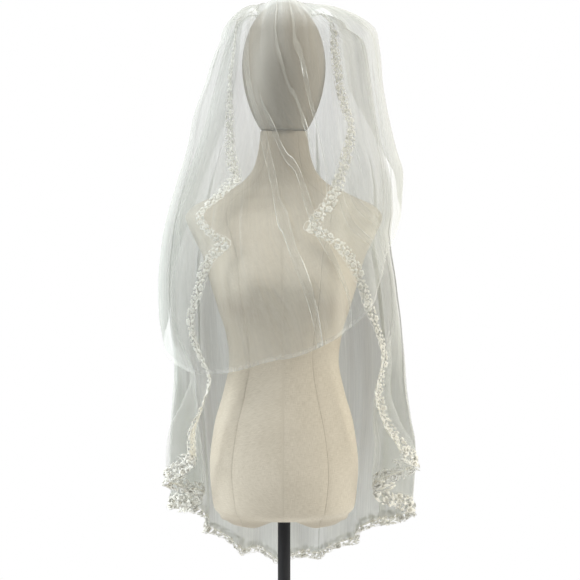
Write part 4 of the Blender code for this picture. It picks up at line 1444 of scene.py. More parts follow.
    def point(self, place: Floats | float, fall: Floats | float) -> Floats:
        """Positions on the tier, before pleats and ripples.

        The dome over the crown is a sine, drawn towards the band by a power of the share of
        the way to the brow, times the square of what is left of the way.

        Args:
            place: Places across.
            fall: Falls.

        Returns:
            The positions.
        """
        place, fall = np.broadcast_arrays(np.asarray(place, float), np.asarray(fall, float))
        place = np.clip(place, 0.0, 1.0)
        cap = np.clip(fall / self.cap_share, 0, 1)
        height = self.height_at(place, fall)
        x, y = self.skirt(place, height)
        brow = np.full_like(height, self.brow)
        brow_x, brow_y = self.plan(place, brow)
        normal_x, normal_y = self.outward(place, brow)
        start = self.gathered(place)
        out = np.sin(cap * math.pi / 2)
        up = np.cos(cap * math.pi / 2)
        flute = self.flute(place, ease(cap * 1.2))
        rise = follow(self.rises, "height", place, key="place") * np.sin(cap * math.pi)
        rise = rise + self.dome * 2 * np.sin(math.pi * cap ** self.dome_skew) * (1 - cap) ** 2
        cap_x = start[..., 0] + (brow_x - start[..., 0]) * out + normal_x * flute * out
        cap_y = start[..., 1] + (brow_y - start[..., 1]) * out + normal_y * flute * out
        cap_z = self.brow + (start[..., 2] - self.brow) * up + rise + flute * up
        over = cap_z - self.headpiece.form.crown_height(cap_x, cap_y) - self.head_clear
        resting = (np.sqrt(over ** 2 + self.head_blend ** 2) - over) / 2
        cap_z = cap_z + resting * ease(cap * 8)
        in_cap = fall < self.cap_share
        return np.stack((np.where(in_cap, cap_x, x), np.where(in_cap, cap_y, y),
                         np.where(in_cap, cap_z, height)), axis=-1)

    def normal(self, place: Floats, fall: Floats) -> Floats:
        """Unit normals of the smooth cloth, away from the wearer.

        Args:
            place: Places across.
            fall: Falls.

        Returns:
            The normals.
        """
        step = 0.002
        across = self.point(place + step, fall) - self.point(place - step, fall)
        lower = np.minimum(fall + step, 1.0)
        down = self.point(place, lower) - self.point(place, np.maximum(lower - 2 * step, 0.0))
        return unit(np.cross(across, down)) * self.facing

    def pleat_lines(self, levels: Floats) -> list[Floats]:
        """Each pleat's place at every level, smoothed by a raised cosine.

        Args:
            levels: Heights, evenly spaced.

        Returns:
            One array of places for each pleat.
        """
        window = np.hanning(self.pleat_window + 2)[1:-1]
        beyond = self.pleat_window // 2
        lines = [np.pad(follow(pleat, "place", levels), beyond, mode="edge") for pleat in self.pleats]
        return [np.convolve(line, window / window.sum(), mode="valid") for line in lines]

    def pleated(self, place: Floats, fall: Floats) -> tuple[Floats, Floats, Floats]:
        """Fold the flat cloth over on itself along its pleats.

        A pleat takes up the cloth within its half width. There a place is moved back by
        nine tenths of that half width times a sine, so the cloth runs forward, back and
        forward again in three layers, and the same sine parts the layers. The pleats then
        slide sideways down the drop: each keeps its own line, and the cloth between two of
        them is shared out evenly.

        Args:
            place: Places on the flat cloth.
            fall: Falls on it.

        Returns:
            The place of each point on the hanging cloth, its distance out from it, and how
            dense the threads look.
        """
        height = self.height_at(place, fall)
        levels = np.linspace(self.pleat_lowest, self.pleat_highest, self.pleat_levels)
        paths = self.pleat_lines(levels)
        gauged = [float(np.interp(self.pleat_gauge, levels, path)) for path in paths]
        knots = np.array([0.0] + gauged + [1.0])
        step = 0.01
        lines = np.stack([np.zeros_like(levels)] + paths + [np.ones_like(levels)])
        slide = np.zeros_like(place)
        out = np.zeros_like(place)
        dense = np.zeros_like(place)
        near_band = ease(fall / (0.6 * self.cap_share))
        for i, pleat in enumerate(self.pleats, start=1):
            spread = (lines[i + 1] - lines[i - 1]) / (knots[i + 1] - knots[i - 1])
            ahead = np.stack(self.plan(np.clip(lines[i] + step, 0, 1), levels))
            behind = np.stack(self.plan(np.clip(lines[i] - step, 0, 1), levels))
            metres = np.linalg.norm(ahead - behind, axis=0) / (2 * step)
            half = np.interp(height, levels, follow(pleat, "half", levels) / (metres * spread))
            strength = follow(pleat, "strength", height) * near_band
            t = (place - knots[i]) / half
            inside = np.abs(t) < 1
            sine = np.where(inside, np.sin(math.pi * t), 0.0)
            slide = slide - self.fold_over * strength * half * sine
            out = out - self.pleat_part * strength * sine
            # Each pleat's borders look denser, which also whitens the net there as a painted highlight.
            border = self.crease_dense * np.exp(-((np.abs(t) - self.crease_place) / self.crease_half) ** 2)
            dense = dense + strength * np.where(inside, border - self.pleat_clear * (1 - t ** 4), 0.0)
        folded = place + slide
        moved = folded
        for i in range(1, len(self.pleats) + 1):
            before = (folded - knots[i - 1]) / (knots[i] - knots[i - 1])
            after = (knots[i + 1] - folded) / (knots[i + 1] - knots[i])
            share = np.clip(np.minimum(before, after), 0, 1)
            moved = moved + (np.interp(height, levels, lines[i]) - knots[i]) * share
        return moved, out, dense

    def rippled(self, place: Floats, fall: Floats) -> Floats:
        """The fine ripples, a sum of sines deeper near the band and faded at the free edges.

        Args:
            place: Places across.
            fall: Falls.

        Returns:
            Distances out from the cloth.
        """
        height = self.height_at(place, fall)
        near = 1 + self.ripple_growth * (1 - ease((fall - 0.05) / 0.30))
        inland = ease(np.minimum(place, 1 - place) / 0.05) * ease(fall / 0.05)
        waves = np.zeros_like(place)
        for ripple in self.ripples:
            turns = ripple.count * place + ripple.phase + ripple.lean * height
            waves = waves + ripple.depth * np.sin(2 * math.pi * turns)
        return waves * near * inland

    def surface(self, place: Floats, fall: Floats) -> tuple[Floats, Floats]:
        """The finished cloth, with its pleats, ripples and the streaks of its close gathers.

        Args:
            place: Places on the flat cloth.
            fall: Falls on it.

        Returns:
            The positions, and how dense the threads look.
        """
        moved, out, dense = self.pleated(place, fall)
        out = out + self.rippled(place, fall)
        points = self.point(moved, fall) + self.normal(moved, fall) * out[..., None]
        turns = 2 * math.pi * place
        streaks = np.sin(self.streaks * turns + 2.0 * np.sin(self.streak_waves * turns))
        # The close gathers' streaks look denser, which also whitens the net as a painted highlight.
        gathers = np.maximum(streaks, 0.0) ** 2 * (1 - ease((fall - 0.02) / 0.28))
        return points, dense + self.streak_dense * gathers


LONG = Tier(LONG_RINGS, LONG_LEFT, LONG_RIGHT, LONG_HEM, LONG_FOLDS, LONG_RISES, LONG_PLEATS,
            LONG_RIPPLES, flutes=13, facing=1, squareness=2.0,
            gather=Gather(math.radians(50), 0.055, 0.014, 0.002, 0.004), dome=0.012)
BLUSHER = Tier(BLUSHER_RINGS, BLUSHER_LEFT, BLUSHER_RIGHT, BLUSHER_HEM, BLUSHER_FOLDS, BLUSHER_RISES,
               BLUSHER_PLEATS, BLUSHER_RIPPLES, flutes=11, facing=-1, squareness=2.8,
               gather=Gather(math.radians(-45), 0.064, 0.009, -0.0048, 0.0170), dome=0.016)


# ---- lace


class Side(Enum):
    """Which edge of the long tier a strip of lace follows."""

    LEFT = "left"
    RIGHT = "right"
    HEM = "hem"


class Blossom(NamedTuple):
    """A flower of the lace: its centre, radius, and turn in degrees."""

    along: float
    across: float
    radius: float
    turn: float


class Leaf(NamedTuple):
    """A leaf of the lace: its stalk's end, direction in degrees, length and half width."""

    along: float
    across: float
    turn: float
    length: float
    half: float


BLOSSOMS = table(
    Blossom,
    (0.0105, 0.0080, 0.0066, 12.0),
    (0.0325, 0.0155, 0.0052, 40.0),
    (0.0240, 0.0055, 0.0038, 0.0),
)
LEAVES = table(
    Leaf,
    (0.0010, 0.0150, 66.0, 0.0085, 0.0023),
    (0.0030, 0.0125, -58.0, 0.0070, 0.0020),
    (0.0080, 0.0185, 25.0, 0.0075, 0.0022),
    (0.0140, 0.0185, 68.0, 0.0070, 0.0021),
    (0.0170, 0.0165, -18.0, 0.0075, 0.0022),
    (0.0200, 0.0120, 62.0, 0.0080, 0.0022),
    (0.0215, 0.0205, 28.0, 0.0065, 0.0020),
    (0.0305, 0.0080, -62.0, 0.0065, 0.0019),
    (0.0335, 0.0085, 12.0, 0.0080, 0.0023),
    (0.0385, 0.0110, -40.0, 0.0080, 0.0022),
    (0.0405, 0.0145, 55.0, 0.0075, 0.0022),
    (0.0290, 0.0235, 10.0, 0.0060, 0.0018),
    (0.0175, 0.0035, 20.0, 0.0060, 0.0018),
    (0.0330, 0.0030, 158.0, 0.0070, 0.0019),
    (0.0420, 0.0055, -15.0, 0.0065, 0.0019),
    (0.0120, 0.0150, 110.0, 0.0060, 0.0018),
    (0.0385, 0.0190, 75.0, 0.0060, 0.0018),
)


def lens(rows: int, columns: int) -> tuple[Floats, Floats, Floats, Ints]:
    """A closed lens of cells: an upper and a lower grid that share their border.

    Args:
        rows: Cells along it.
        columns: Cells across it.

    Returns:
        Along from 0 to 1, across from -1 to 1, side (1 above, -1 below, 0 on the border)
        of each point, and the faces.
    """
    along, across = np.meshgrid(np.linspace(0, 1, rows + 1), np.linspace(-1, 1, columns + 1), indexing="ij")
    border = np.ones_like(along, dtype=bool)
    border[1:-1, 1:-1] = False
    upper = np.arange(along.size)
    lower = upper.copy()
    inner = ~border.ravel()
    lower[inner] = along.size + np.arange(inner.sum())
    faces = cells(rows + 1, columns + 1)
    side = np.concatenate((np.where(inner, 1.0, 0.0), -np.ones(inner.sum())))
    return (np.concatenate((along.ravel(), along.ravel()[inner])),
            np.concatenate((across.ravel(), across.ravel()[inner])), side,
            np.concatenate((faces[:, ::-1], lower[faces])))


@dataclass(frozen=True)
class Motifs:
    """The repeat of the lace: three flowers with their leaves, and the cords along it."""

    repeat: float = 0.044
    width: float = 0.027
    petals: int = 5
    wall: float = 0.0003
    size: float = 1.0
    cord_sides: int = 5

    def petal(self, radius: float) -> Patch:
        """One petal from the flower's heart: broad and round outside, dished, its rim raised.

        Args:
            radius: The flower's radius.

        Returns:
            The petal.
        """
        along, across, side, faces = lens(4, 4)
        wide = 0.16 + 0.84 * np.sin(math.pi * (0.12 + 0.74 * along ** 0.8)) ** 1.2
        x = radius * (0.14 + 0.86 * along * (1 - 0.10 * across ** 2))
        y = radius * 0.50 * wide * across
        dish = 0.0011 * along * (0.55 + 0.45 * across ** 2) - 0.0002 * np.cos(2 * math.pi * across)
        z = dish + self.wall * side
        # Painted shade, deepest near the flower's heart and down the petal's middle.
        hollow = (1 - ease(along / 0.5)) * 0.8 + 0.25 * (1 - np.abs(across)) * (side > 0)
        return Patch(np.stack((x, y, z), axis=-1), faces, np.stack((y, x), axis=-1), hollow)

    def heart(self, radius: float) -> Patch:
        """The raised knot in the middle of a flower: half a ball, flattened.

        Args:
            radius: The flower's radius.

        Returns:
            The knot.
        """
        along, across, side, faces = lens(4, 4)
        x = (2 * along - 1) * np.sqrt(1 - across ** 2 / 2)
        y = across * np.sqrt(1 - (2 * along - 1) ** 2 / 2)
        dome = np.sqrt(np.maximum(1 - (x ** 2 + y ** 2) * 0.98, 0.0))
        z = 0.0012 + radius * 0.20 * dome * np.where(side < 0, -0.3, 1.0)
        points = np.stack((x * radius * 0.2, y * radius * 0.2, z), axis=-1)
        return Patch(points, faces, points[:, :2].copy(), np.full(len(points), 0.15))

    def leaf(self, length: float, half: float) -> Patch:
        """One pointed leaf with a sunk midrib, as wide as a sine along it.

        Args:
            length: Its length.
            half: Half its width.

        Returns:
            The leaf.
        """
        along, across, side, faces = lens(4, 4)
        wide = 0.10 + 0.90 * np.sin(math.pi * along ** 0.85)
        x = length * along
        y = half * wide * across
        z = 0.0005 + 0.0006 * np.abs(across) * wide + self.wall * side
        # Painted shade down the sunk midrib.
        hollow = 0.7 * np.exp(-(across / 0.3) ** 2) * (side > 0)
        return Patch(np.stack((x, y, z), axis=-1), faces, np.stack((x, y), axis=-1), hollow)

    def tile(self) -> Patch:
        """One repeat: its flowers and leaves.

        Returns:
            Places along and across the strip, and heights above it.
        """
        parts = []
        for blossom in BLOSSOMS:
            turns = math.radians(blossom.turn) + 2 * math.pi * np.arange(self.petals) / self.petals
            parts += [self.petal(blossom.radius).moved(blossom.along, blossom.across, turn, 0.0007)
                      for turn in turns]
            parts.append(self.heart(blossom.radius).moved(blossom.along, blossom.across, 0.0, 0.0006))
        parts += [self.leaf(leaf.length, leaf.half).moved(leaf.along, leaf.across, math.radians(leaf.turn))
                  for leaf in LEAVES]
        return Patch.joined(parts)

    def tiles(self, length: float, seed: int, first: int = 0) -> Patch:
        """Repeats along a strip of that length, every second one turned half round.

        Each repeat is shrunk or grown a little and slid a little across, by seeded numbers.

        Args:
            length: The strip's length.
            seed: The seed of its numbers.
            first: 1 where the first repeat is a turned one.

        Returns:
            The repeats as one flat pattern.
        """
        count = max(1, round(length / self.repeat))
        tile = self.tile()
        tile.points *= np.array((self.size, self.size, 1.0))
        chance = np.random.default_rng(seed)
        grow = chance.uniform(0.93, 1.07, (count, 1, 1))
        nudge = chance.uniform(-0.0010, 0.0010, (count, 1))
        centre = np.array((self.repeat / 2, self.width / 2, 0.0))
        turned = np.where((np.arange(count) + first) % 2, -1.0, 1.0)[:, None, None]
        turned = turned * np.array((1.0, 1.0, 0.0))
        turned = turned + np.array((0.0, 0.0, 1.0))
        points = (tile.points[None] - centre) * grow * turned + centre
        points[..., 0] = (points[..., 0] + self.repeat * np.arange(count)[:, None]) * (
            length / (count * self.repeat))
        points[..., 1] += nudge
        faces = tile.faces[None] + len(tile.points) * np.arange(count)[:, None, None]
        return Patch(points.reshape(-1, 3), faces.reshape(-1, 4), np.tile(tile.cloth, (count, 1)),
                     np.tile(tile.hollow, count))

    def cord(self, length: float, line: Callable[[Floats], Floats], radius: float,
             height: float) -> Patch:
        """A round cord along the strip.

        Args:
            length: The strip's length.
            line: Gives its places across for places along.
            radius: Its radius.
            height: Height of its middle.

        Returns:
            The cord.
        """
        along = np.linspace(0.001, length - 0.001, max(8, round(length / 0.0024)))
        centre = np.stack((along, line(along), np.full_like(along, height)), axis=-1)
        tangent = unit(np.gradient(centre, axis=0))
        aside = np.stack((-tangent[:, 1], tangent[:, 0], np.zeros(len(along))), axis=-1)
        turn = np.linspace(0, 2 * math.pi, self.cord_sides, endpoint=False)
        up = np.array((0.0, 0.0, 1.0))
        rings = (centre[:, None] + radius * np.cos(turn)[None, :, None] * aside[:, None]
                 + radius * np.sin(turn)[None, :, None] * up)
        index = cells(len(along), self.cord_sides, ring=True)
        ends = np.stack((centre[0], centre[-1]))
        points = np.concatenate((rings.reshape(-1, 3), ends))
        fans = caps(len(along), self.cord_sides)
        faces = np.concatenate((index, np.concatenate((fans, fans[:, -1:]), axis=1)))
        cloth = np.stack((points[:, 1], points[:, 0]), axis=-1)
        return Patch(points, faces, cloth, np.full(len(points), 0.1))


EDGE_MOTIFS = Motifs()
HEM_MOTIFS = Motifs(repeat=0.052, width=0.032, size=1.18)


@dataclass(frozen=True)
class LaceStrip:
    """The lace along one edge of the long tier."""

    side: Side
    tier: Tier = LONG
    lines: int = 9
    outside: float = 0.001
    inside: float = 0.002
    beyond: float = 2.5
    station: float = 0.002
    top: float = 0.030
    most: float = 0.038
    least_slant: float = 0.35
    smoothing: int = 25
    ruffle: float = 0.0045
    hem_ruffle: float = 1.8
    ruffle_pitches: tuple[float, float] = (0.023, 0.0137)
    vine_swing: float = 0.0050
    scallop_base: float = 0.0044
    scallop_depth: float = 0.0036
    layer_out: float = 0.0045
    layer_lift: float = 0.0028

    @property
    def motifs(self) -> Motifs:
        """The strip's motifs, broader at the hem."""
        return HEM_MOTIFS if self.side is Side.HEM else EDGE_MOTIFS

    def stations(self) -> tuple[Floats, Floats]:
        """Places and falls along the edge, evenly spaced by length.

        Returns:
            The places and the falls.
        """
        start, count = (0.0, 2400) if self.side is Side.HEM else (self.top, 1600)
        dense = np.linspace(start, 1.0, count)
        place, fall = self.edge(dense)
        steps = np.linalg.norm(np.diff(self.tier.point(place, fall), axis=0), axis=-1)
        length = np.concatenate(((0.0,), np.cumsum(steps)))
        even = np.linspace(0, length[-1], max(8, round(length[-1] / self.station)))
        return self.edge(np.interp(even, length, dense))

    def edge(self, along: Floats) -> tuple[Floats, Floats]:
        """Places and falls on the edge.

        Args:
            along: Runs along it, from 0 to 1.

        Returns:
            The places and the falls.
        """
        if self.side is Side.LEFT:
            return np.zeros_like(along), along
        if self.side is Side.RIGHT:
            return np.ones_like(along), along
        return along, np.ones_like(along)

    def ribbon(self) -> tuple[Floats, Floats, Floats]:
        """Points and normals of the strip's ground, and the length at each station.

        At each station the strip runs square to the edge, inwards over the cloth. In places
        and falls, that direction is the one across the cloth less its part along the edge.
        It is held short where the cloth runs nearly along the edge.

        Returns:
            Points and normals, stations by lines, and the length at each station.
        """
        place, fall = self.stations()
        step = 0.003
        inner = {Side.LEFT: 1.0, Side.RIGHT: -1.0, Side.HEM: 0.0}[self.side]
        if self.side is Side.HEM:
            low = np.maximum(place - step, 0.0)
            high = np.minimum(place + step, 1.0)
            edge = (self.tier.point(high, fall) - self.tier.point(low, fall)) / (high - low)[:, None]
            cross = (self.tier.point(place, fall) - self.tier.point(place, fall - step)) / -step
        else:
            low = np.maximum(fall - step, 0.0)
            high = np.minimum(fall + step, 1.0)
            edge = (self.tier.point(place, high) - self.tier.point(place, low)) / (high - low)[:, None]
            cross = (self.tier.point(place + inner * step, fall) - self.tier.point(place, fall)) / step
        tangent = unit(edge)
        lean = np.sum(cross * tangent, axis=-1)
        square = np.linalg.norm(cross - lean[:, None] * tangent, axis=-1)
        square = np.maximum(square, self.least_slant * np.linalg.norm(cross, axis=-1))
        rate = 1 / square
        if self.side is not Side.HEM:
            rate = np.minimum(rate, self.most / self.motifs.width)
        slip = -rate * lean / np.linalg.norm(edge, axis=-1)
        window = np.hanning(self.smoothing) / np.hanning(self.smoothing).sum()
        slip, rate = (np.convolve(np.pad(run, self.smoothing // 2, mode="edge"), window, mode="valid")
                      for run in (slip, rate))
        width = np.linspace(-self.outside, self.motifs.width + self.inside, self.lines)[None, :]
        if self.side is Side.HEM:
            places = place[:, None] + slip[:, None] * width
            falls = fall[:, None] - rate[:, None] * width
        else:
            places = place[:, None] + inner * rate[:, None] * width
            falls = fall[:, None] + slip[:, None] * width
        places = np.clip(places, 0.0, 1.0)
        falls = np.clip(falls, 0.004, 1.0)
        points = self.tier.point(places, falls)
        normals = self.tier.normal(places, falls)
        middle = points[:, self.lines // 2]
        steps = np.linalg.norm(np.diff(middle, axis=0), axis=-1)
        return points, normals, np.concatenate(((0.0,), np.cumsum(steps)))

    def laid(self, patch: Patch, ribbon: tuple[Floats, Floats, Floats], lift: float) -> Floats:
        """Lay a flat pattern on the strip's ground, between its stations and lines.

        Towards the outer edge it is lifted by two waves along the strip, as a ruffle. What
        lies beyond the edge goes on in the strip's own direction.

        Args:
            patch: The pattern.
            ribbon: Points, normals and lengths of the ground.
            lift: Height of the pattern above it.

        Returns:
            The pattern's points.
        """
        ground, normals, length = ribbon
        row = np.interp(patch.points[:, 0], length, np.arange(len(length)))
        low = self.lines - 1
        width = self.motifs.width
        share = (patch.points[:, 1] + self.outside) / (width + self.outside + self.inside)
        line = np.clip(share * low, -self.beyond, low)
        r = np.clip(row.astype(int), 0, len(length) - 2)
        c = np.clip(line.astype(int), 0, low - 1)
        a = (row - r)[:, None]
        b = (line - c)[:, None]
        spots = [grid[r, c] * (1 - a) * (1 - b) + grid[r + 1, c] * a * (1 - b)
                 + grid[r, c + 1] * (1 - a) * b + grid[r + 1, c + 1] * a * b
                 for grid in (ground, normals)]
        outer = np.clip(1 - patch.points[:, 1] / width, 0, 1)
        turns = 2 * math.pi * patch.points[:, 0]
        long, short = self.ruffle_pitches
        waves = 0.5 + 0.3 * np.sin(turns / long) + 0.2 * np.sin(turns / short + 1.0)
        ruffle = self.ruffle * (self.hem_ruffle if self.side is Side.HEM else 1.0)
        height = patch.points[:, 2] + lift + ruffle * waves * outer ** 1.5
        return spots[0] + unit(spots[1]) * height[:, None]

    def add(self, thread: bpy.types.Material) -> bpy.types.Object:
        """Make the strip: its repeats, the vine between them and the scalloped outer cord.

        The hem has a second layer of repeats, which hangs a little beyond the edge.

        Args:
            thread: The material.

        Returns:
            The object.
        """
        ribbon = self.ribbon()
        length = float(ribbon[2][-1])
        count = max(1, round(length / self.motifs.repeat))
        repeat = length / count
        half = self.motifs.width / 2

        def vine(along: Floats) -> Floats:
            """The vine swings once from side to side in each repeat."""
            return half + self.vine_swing * np.sin(2 * math.pi * along / repeat)

        def scallop(along: Floats) -> Floats:
            """Three scallops in each repeat, pointed where they meet."""
            arches = np.abs(np.sin(3 * math.pi * along / repeat)) ** 0.8
            return self.scallop_base - self.scallop_depth * arches

        parts = [
            self.motifs.tiles(length, seed=11 + list(Side).index(self.side)),
            self.motifs.cord(length, vine, 0.0007, 0.0007),
            self.motifs.cord(length, scallop, 0.0006, 0.0006),
        ]
        if self.side is Side.HEM:
            second = self.motifs.tiles(length, seed=23, first=1)
            parts.append(second.moved(0.0, -self.layer_out, lift=self.layer_lift))
        patch = Patch.joined(parts)
        points = self.laid(patch, ribbon, lift=0.0006)
        ground, normals, _ = ribbon
        run = ground[1:, 0] - ground[:-1, 0]
        inward = ground[:-1, -1] - ground[:-1, 0]
        handed = np.sum(np.cross(run, inward) * normals[:-1, 0])
        faces = patch.faces if handed > 0 else patch.faces[:, ::-1]
        kept = [list(dict.fromkeys(face)) for face in faces.tolist()]
        piece = add_piece(f"{self.side.value}_lace", thread, points, kept, patch.cloth,
                          {"hollow": patch.hollow})
        node = {Side.LEFT: "lace_left_edge", Side.RIGHT: "lace_right_edge", Side.HEM: "lace_hem"}
        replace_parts(piece, node[self.side])
        return piece


# ---- veil


class Crowd(NamedTuple):
    """Places across a sheet between which its columns lie closer, and how many times."""

    start: float
    end: float
    times: float


LONG_CROWDS = table(Crowd, (0.09, 0.20, 1.8), (0.80, 0.90, 1.8))
BLUSHER_CROWDS = table(Crowd, (0.44, 0.66, 4.0), (0.27, 0.33, 1.6), (0.36, 0.46, 1.6))


@dataclass(frozen=True)
class Veil:
    """Both tiers of tulle, with their cover."""

    lace_width: float = EDGE_MOTIFS.width
    lace_ground: float = 0.24
    hem_ground: float = 0.52
    front_cover: float = 0.24
    side_cover: float = 0.32
    back_cover: float = 0.80
    upper_cover: float = 0.42
    crown_cover: float = 0.30
    turn_thinning: float = 0.6
    turn_width: float = 0.0030
    least_slant: float = LaceStrip.least_slant
    lace_most: float = LaceStrip.most
    cap_rows: int = 33
    long_columns: int = 440
    long_rows: int = 206
    blusher_columns: int = 470
    blusher_rows: int = 196
    blusher_hem: float = 0.010

    def side_share(self, fall: Floats, right: bool) -> Floats:
        """Share of the cloth across a free edge that the lace takes, measured square to the edge.

        Args:
            fall: Falls on it.
            right: Whether it is the right edge.

        Returns:
            The shares.
        """
        step = 0.004
        place = np.full_like(fall, 1.0 if right else 0.0)
        inner = place - step if right else place + step
        across = (LONG.point(inner, fall) - LONG.point(place, fall)) / step
        along = unit(LONG.point(place, fall + step) - LONG.point(place, fall - step))
        square = across - along * np.sum(across * along, axis=-1, keepdims=True)
        slanted = self.least_slant * np.linalg.norm(across, axis=-1)
        spans = np.maximum(np.linalg.norm(square, axis=-1), slanted)
        return np.minimum(self.lace_width / spans, self.lace_most)

    def gathered_cover(self, tier: Tier, place: Floats, fall: Floats) -> Floats:
        """Cover of the full, closely gathered cloth at the sides and back, lighter higher up."""
        lower = ease((1.50 - tier.height_at(place, fall)) / 0.40)
        return self.upper_cover + (self.back_cover - self.upper_cover) * lower

    def crown(self, fall: Floats) -> Floats:
        """What the close gathers add to the cover over the crown, from the band to the brow."""
        return self.crown_cover * (1 - ease((fall - 0.05) / 0.09))

    def rows(self, count: int) -> Floats:
        """Falls of a sheet's rows, evenly spaced over the crown and again below it."""
        cap = np.linspace(0, LONG.cap_share, self.cap_rows, endpoint=False)
        return np.concatenate((cap, np.linspace(LONG.cap_share, 1.0, count - self.cap_rows)))

    def columns(self, count: int, crowds: tuple[Crowd, ...]) -> Floats:
        """Columns of a sheet, closer together between the places where its pleats lie.

        Args:
            count: The number of columns.
            crowds: Where they lie closer.

        Returns:
            Their places on the flat cloth.
        """
        fine = np.linspace(0, 1, 4001)
        crowd = np.ones_like(fine)
        for start, end, times in crowds:
            crowd += (times - 1) * ease((fine - start) / 0.02) * ease((end - fine) / 0.02)
        total = np.concatenate(((0.0,), np.cumsum((crowd[1:] + crowd[:-1]) / 2)))
        return np.interp(np.linspace(0, total[-1], count), total, fine)

    def add_sheet(self, name: str, tier: Tier, place: Floats, fall: Floats,
                  fields: dict[str, Floats], tulle: bpy.types.Material) -> tuple[bpy.types.Object, float]:
        """Make one tier from its places and falls.

        Args:
            name: The piece's name.
            tier: The tier.
            place: Places on the flat cloth, rows by columns.
            fall: Falls on it.
            fields: How dense its hem is, how much it covers, and how near its lace is.
            tulle: The material.

        Returns:
            The object and its area.
        """
        points, folded = tier.surface(place, fall)
        across = np.linalg.norm(np.diff(points, axis=1), axis=-1)
        down = np.linalg.norm(np.diff(points, axis=0), axis=-1)
        wide = np.concatenate((np.zeros((1,)), np.cumsum(across[len(across) // 2])))
        long = np.concatenate((np.zeros((1, points.shape[1])), np.cumsum(down, axis=0)))
        cloth = np.stack((np.broadcast_to(wide, long.shape), -long), axis=-1).reshape(-1, 2)
        faces = cells(*points.shape[:2])
        piece = add_piece(name, tulle, points.reshape(-1, 3), faces.tolist(), cloth,
                          {**fields, "dense": folded + fields["dense"]})
        first = points.reshape(-1, 3)[faces[:, 2]] - points.reshape(-1, 3)[faces[:, 0]]
        second = points.reshape(-1, 3)[faces[:, 3]] - points.reshape(-1, 3)[faces[:, 1]]
        area = float(np.linalg.norm(np.cross(first, second), axis=-1).sum() / 2)
        log.info("%s: %.3f square metres, %.2f wide, %.2f long", name, area, wide[-1], long[-1].max())
        return piece, area

    def add_long_tier(self, tulle: bpy.types.Material) -> None:
        """Make the long tier's tulle, which ends under the lace at both free edges and the hem.

        It covers less near the widest point of each row, where it turns back.

        Args:
            tulle: The material.
        """
        across, down = np.meshgrid(self.columns(self.long_columns, LONG_CROWDS), self.rows(self.long_rows))
        left = self.lace_ground * self.side_share(down, False)
        right = self.lace_ground * self.side_share(down, True)
        place = left + across * (1 - right - left)
        drop = LONG.brow - follow(LONG.hem, "height", place, key="place")
        fall = down * (1 - self.hem_ground * self.lace_width * (1 - LONG.cap_share) / drop)
        inland = np.minimum.reduce((place / self.side_share(fall, False),
                                    (1 - place) / self.side_share(fall, True),
                                    (1 - fall) * drop / (1 - LONG.cap_share) / self.lace_width))
        behind = ease((np.minimum(place, 1 - place) - 0.09) / 0.12)
        gathered = self.gathered_cover(LONG, place, fall)
        cover = self.front_cover + (gathered - self.front_cover) * behind
        aside = np.abs(LONG.point(place, fall)[..., 0])
        widest = np.where(place < 0.5, aside[:, place[0] < 0.5].max(1, keepdims=True),
                          aside[:, place[0] >= 0.5].max(1, keepdims=True))
        turning = ease(1 - (widest - aside) / self.turn_width) * ease((fall - 0.2) / 0.1)
        fields = {"dense": np.zeros_like(place), "cover": cover * (1 - self.turn_thinning * turning),
                  "lace": np.clip(1 - inland, 0, 1) * ease((fall - 0.03) / 0.02)}
        piece, area = self.add_sheet("long_tulle", LONG, place, fall, fields, tulle)
        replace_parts(piece, "long_tier")

    def add_blusher(self, tulle: bpy.types.Material) -> None:
        """Make the blusher, whose cut edge is turned up once in a narrow hem, drawn as a denser band.

        Args:
            tulle: The material.
        """
        place, fall = np.meshgrid(self.columns(self.blusher_columns, BLUSHER_CROWDS),
                                  self.rows(self.blusher_rows))
        drop = BLUSHER.brow - follow(BLUSHER.hem, "height", place, key="place")
        above = (1 - fall) * drop / (1 - BLUSHER.cap_share)
        aside = ease((np.abs(place - 0.52) - 0.17) / 0.14)
        behind = ease((np.abs(place - 0.50) - 0.18) / 0.10)
        cover = self.front_cover + (self.side_cover - self.front_cover) * aside
        cover = cover + (self.gathered_cover(BLUSHER, place, fall) - cover) * behind
        fields = {"dense": 0.20 * ease((self.blusher_hem - above) / 0.003), "lace": np.zeros_like(place),
                  "cover": cover + self.crown(fall)}
        piece, area = self.add_sheet("blusher_tulle", BLUSHER, place, fall, fields, tulle)
        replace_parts(piece, "blusher_tier")


# ---- studio


@dataclass(frozen=True)
class Softbox:
    """A large soft light: its place, what it faces, size, power and colour."""

    name: str
    place: tuple[float, float, float]
    target: tuple[float, float, float]
    size: float
    power: float
    colour: tuple[float, float, float] = (1.0, 1.0, 1.0)

    def add(self) -> None:
        """Make the light."""
        lamp = bpy.data.lights.new(self.name, "AREA")
        lamp.shape = "SQUARE"
        lamp.size = self.size
        lamp.energy = self.power
        lamp.color = self.colour
        holder = bpy.data.objects.new(self.name, lamp)
        holder.location = self.place
        towards = Vector(self.target) - Vector(self.place)
        holder.rotation_euler = towards.to_track_quat("-Z", "Y").to_euler()
        bpy.context.scene.collection.objects.link(holder)


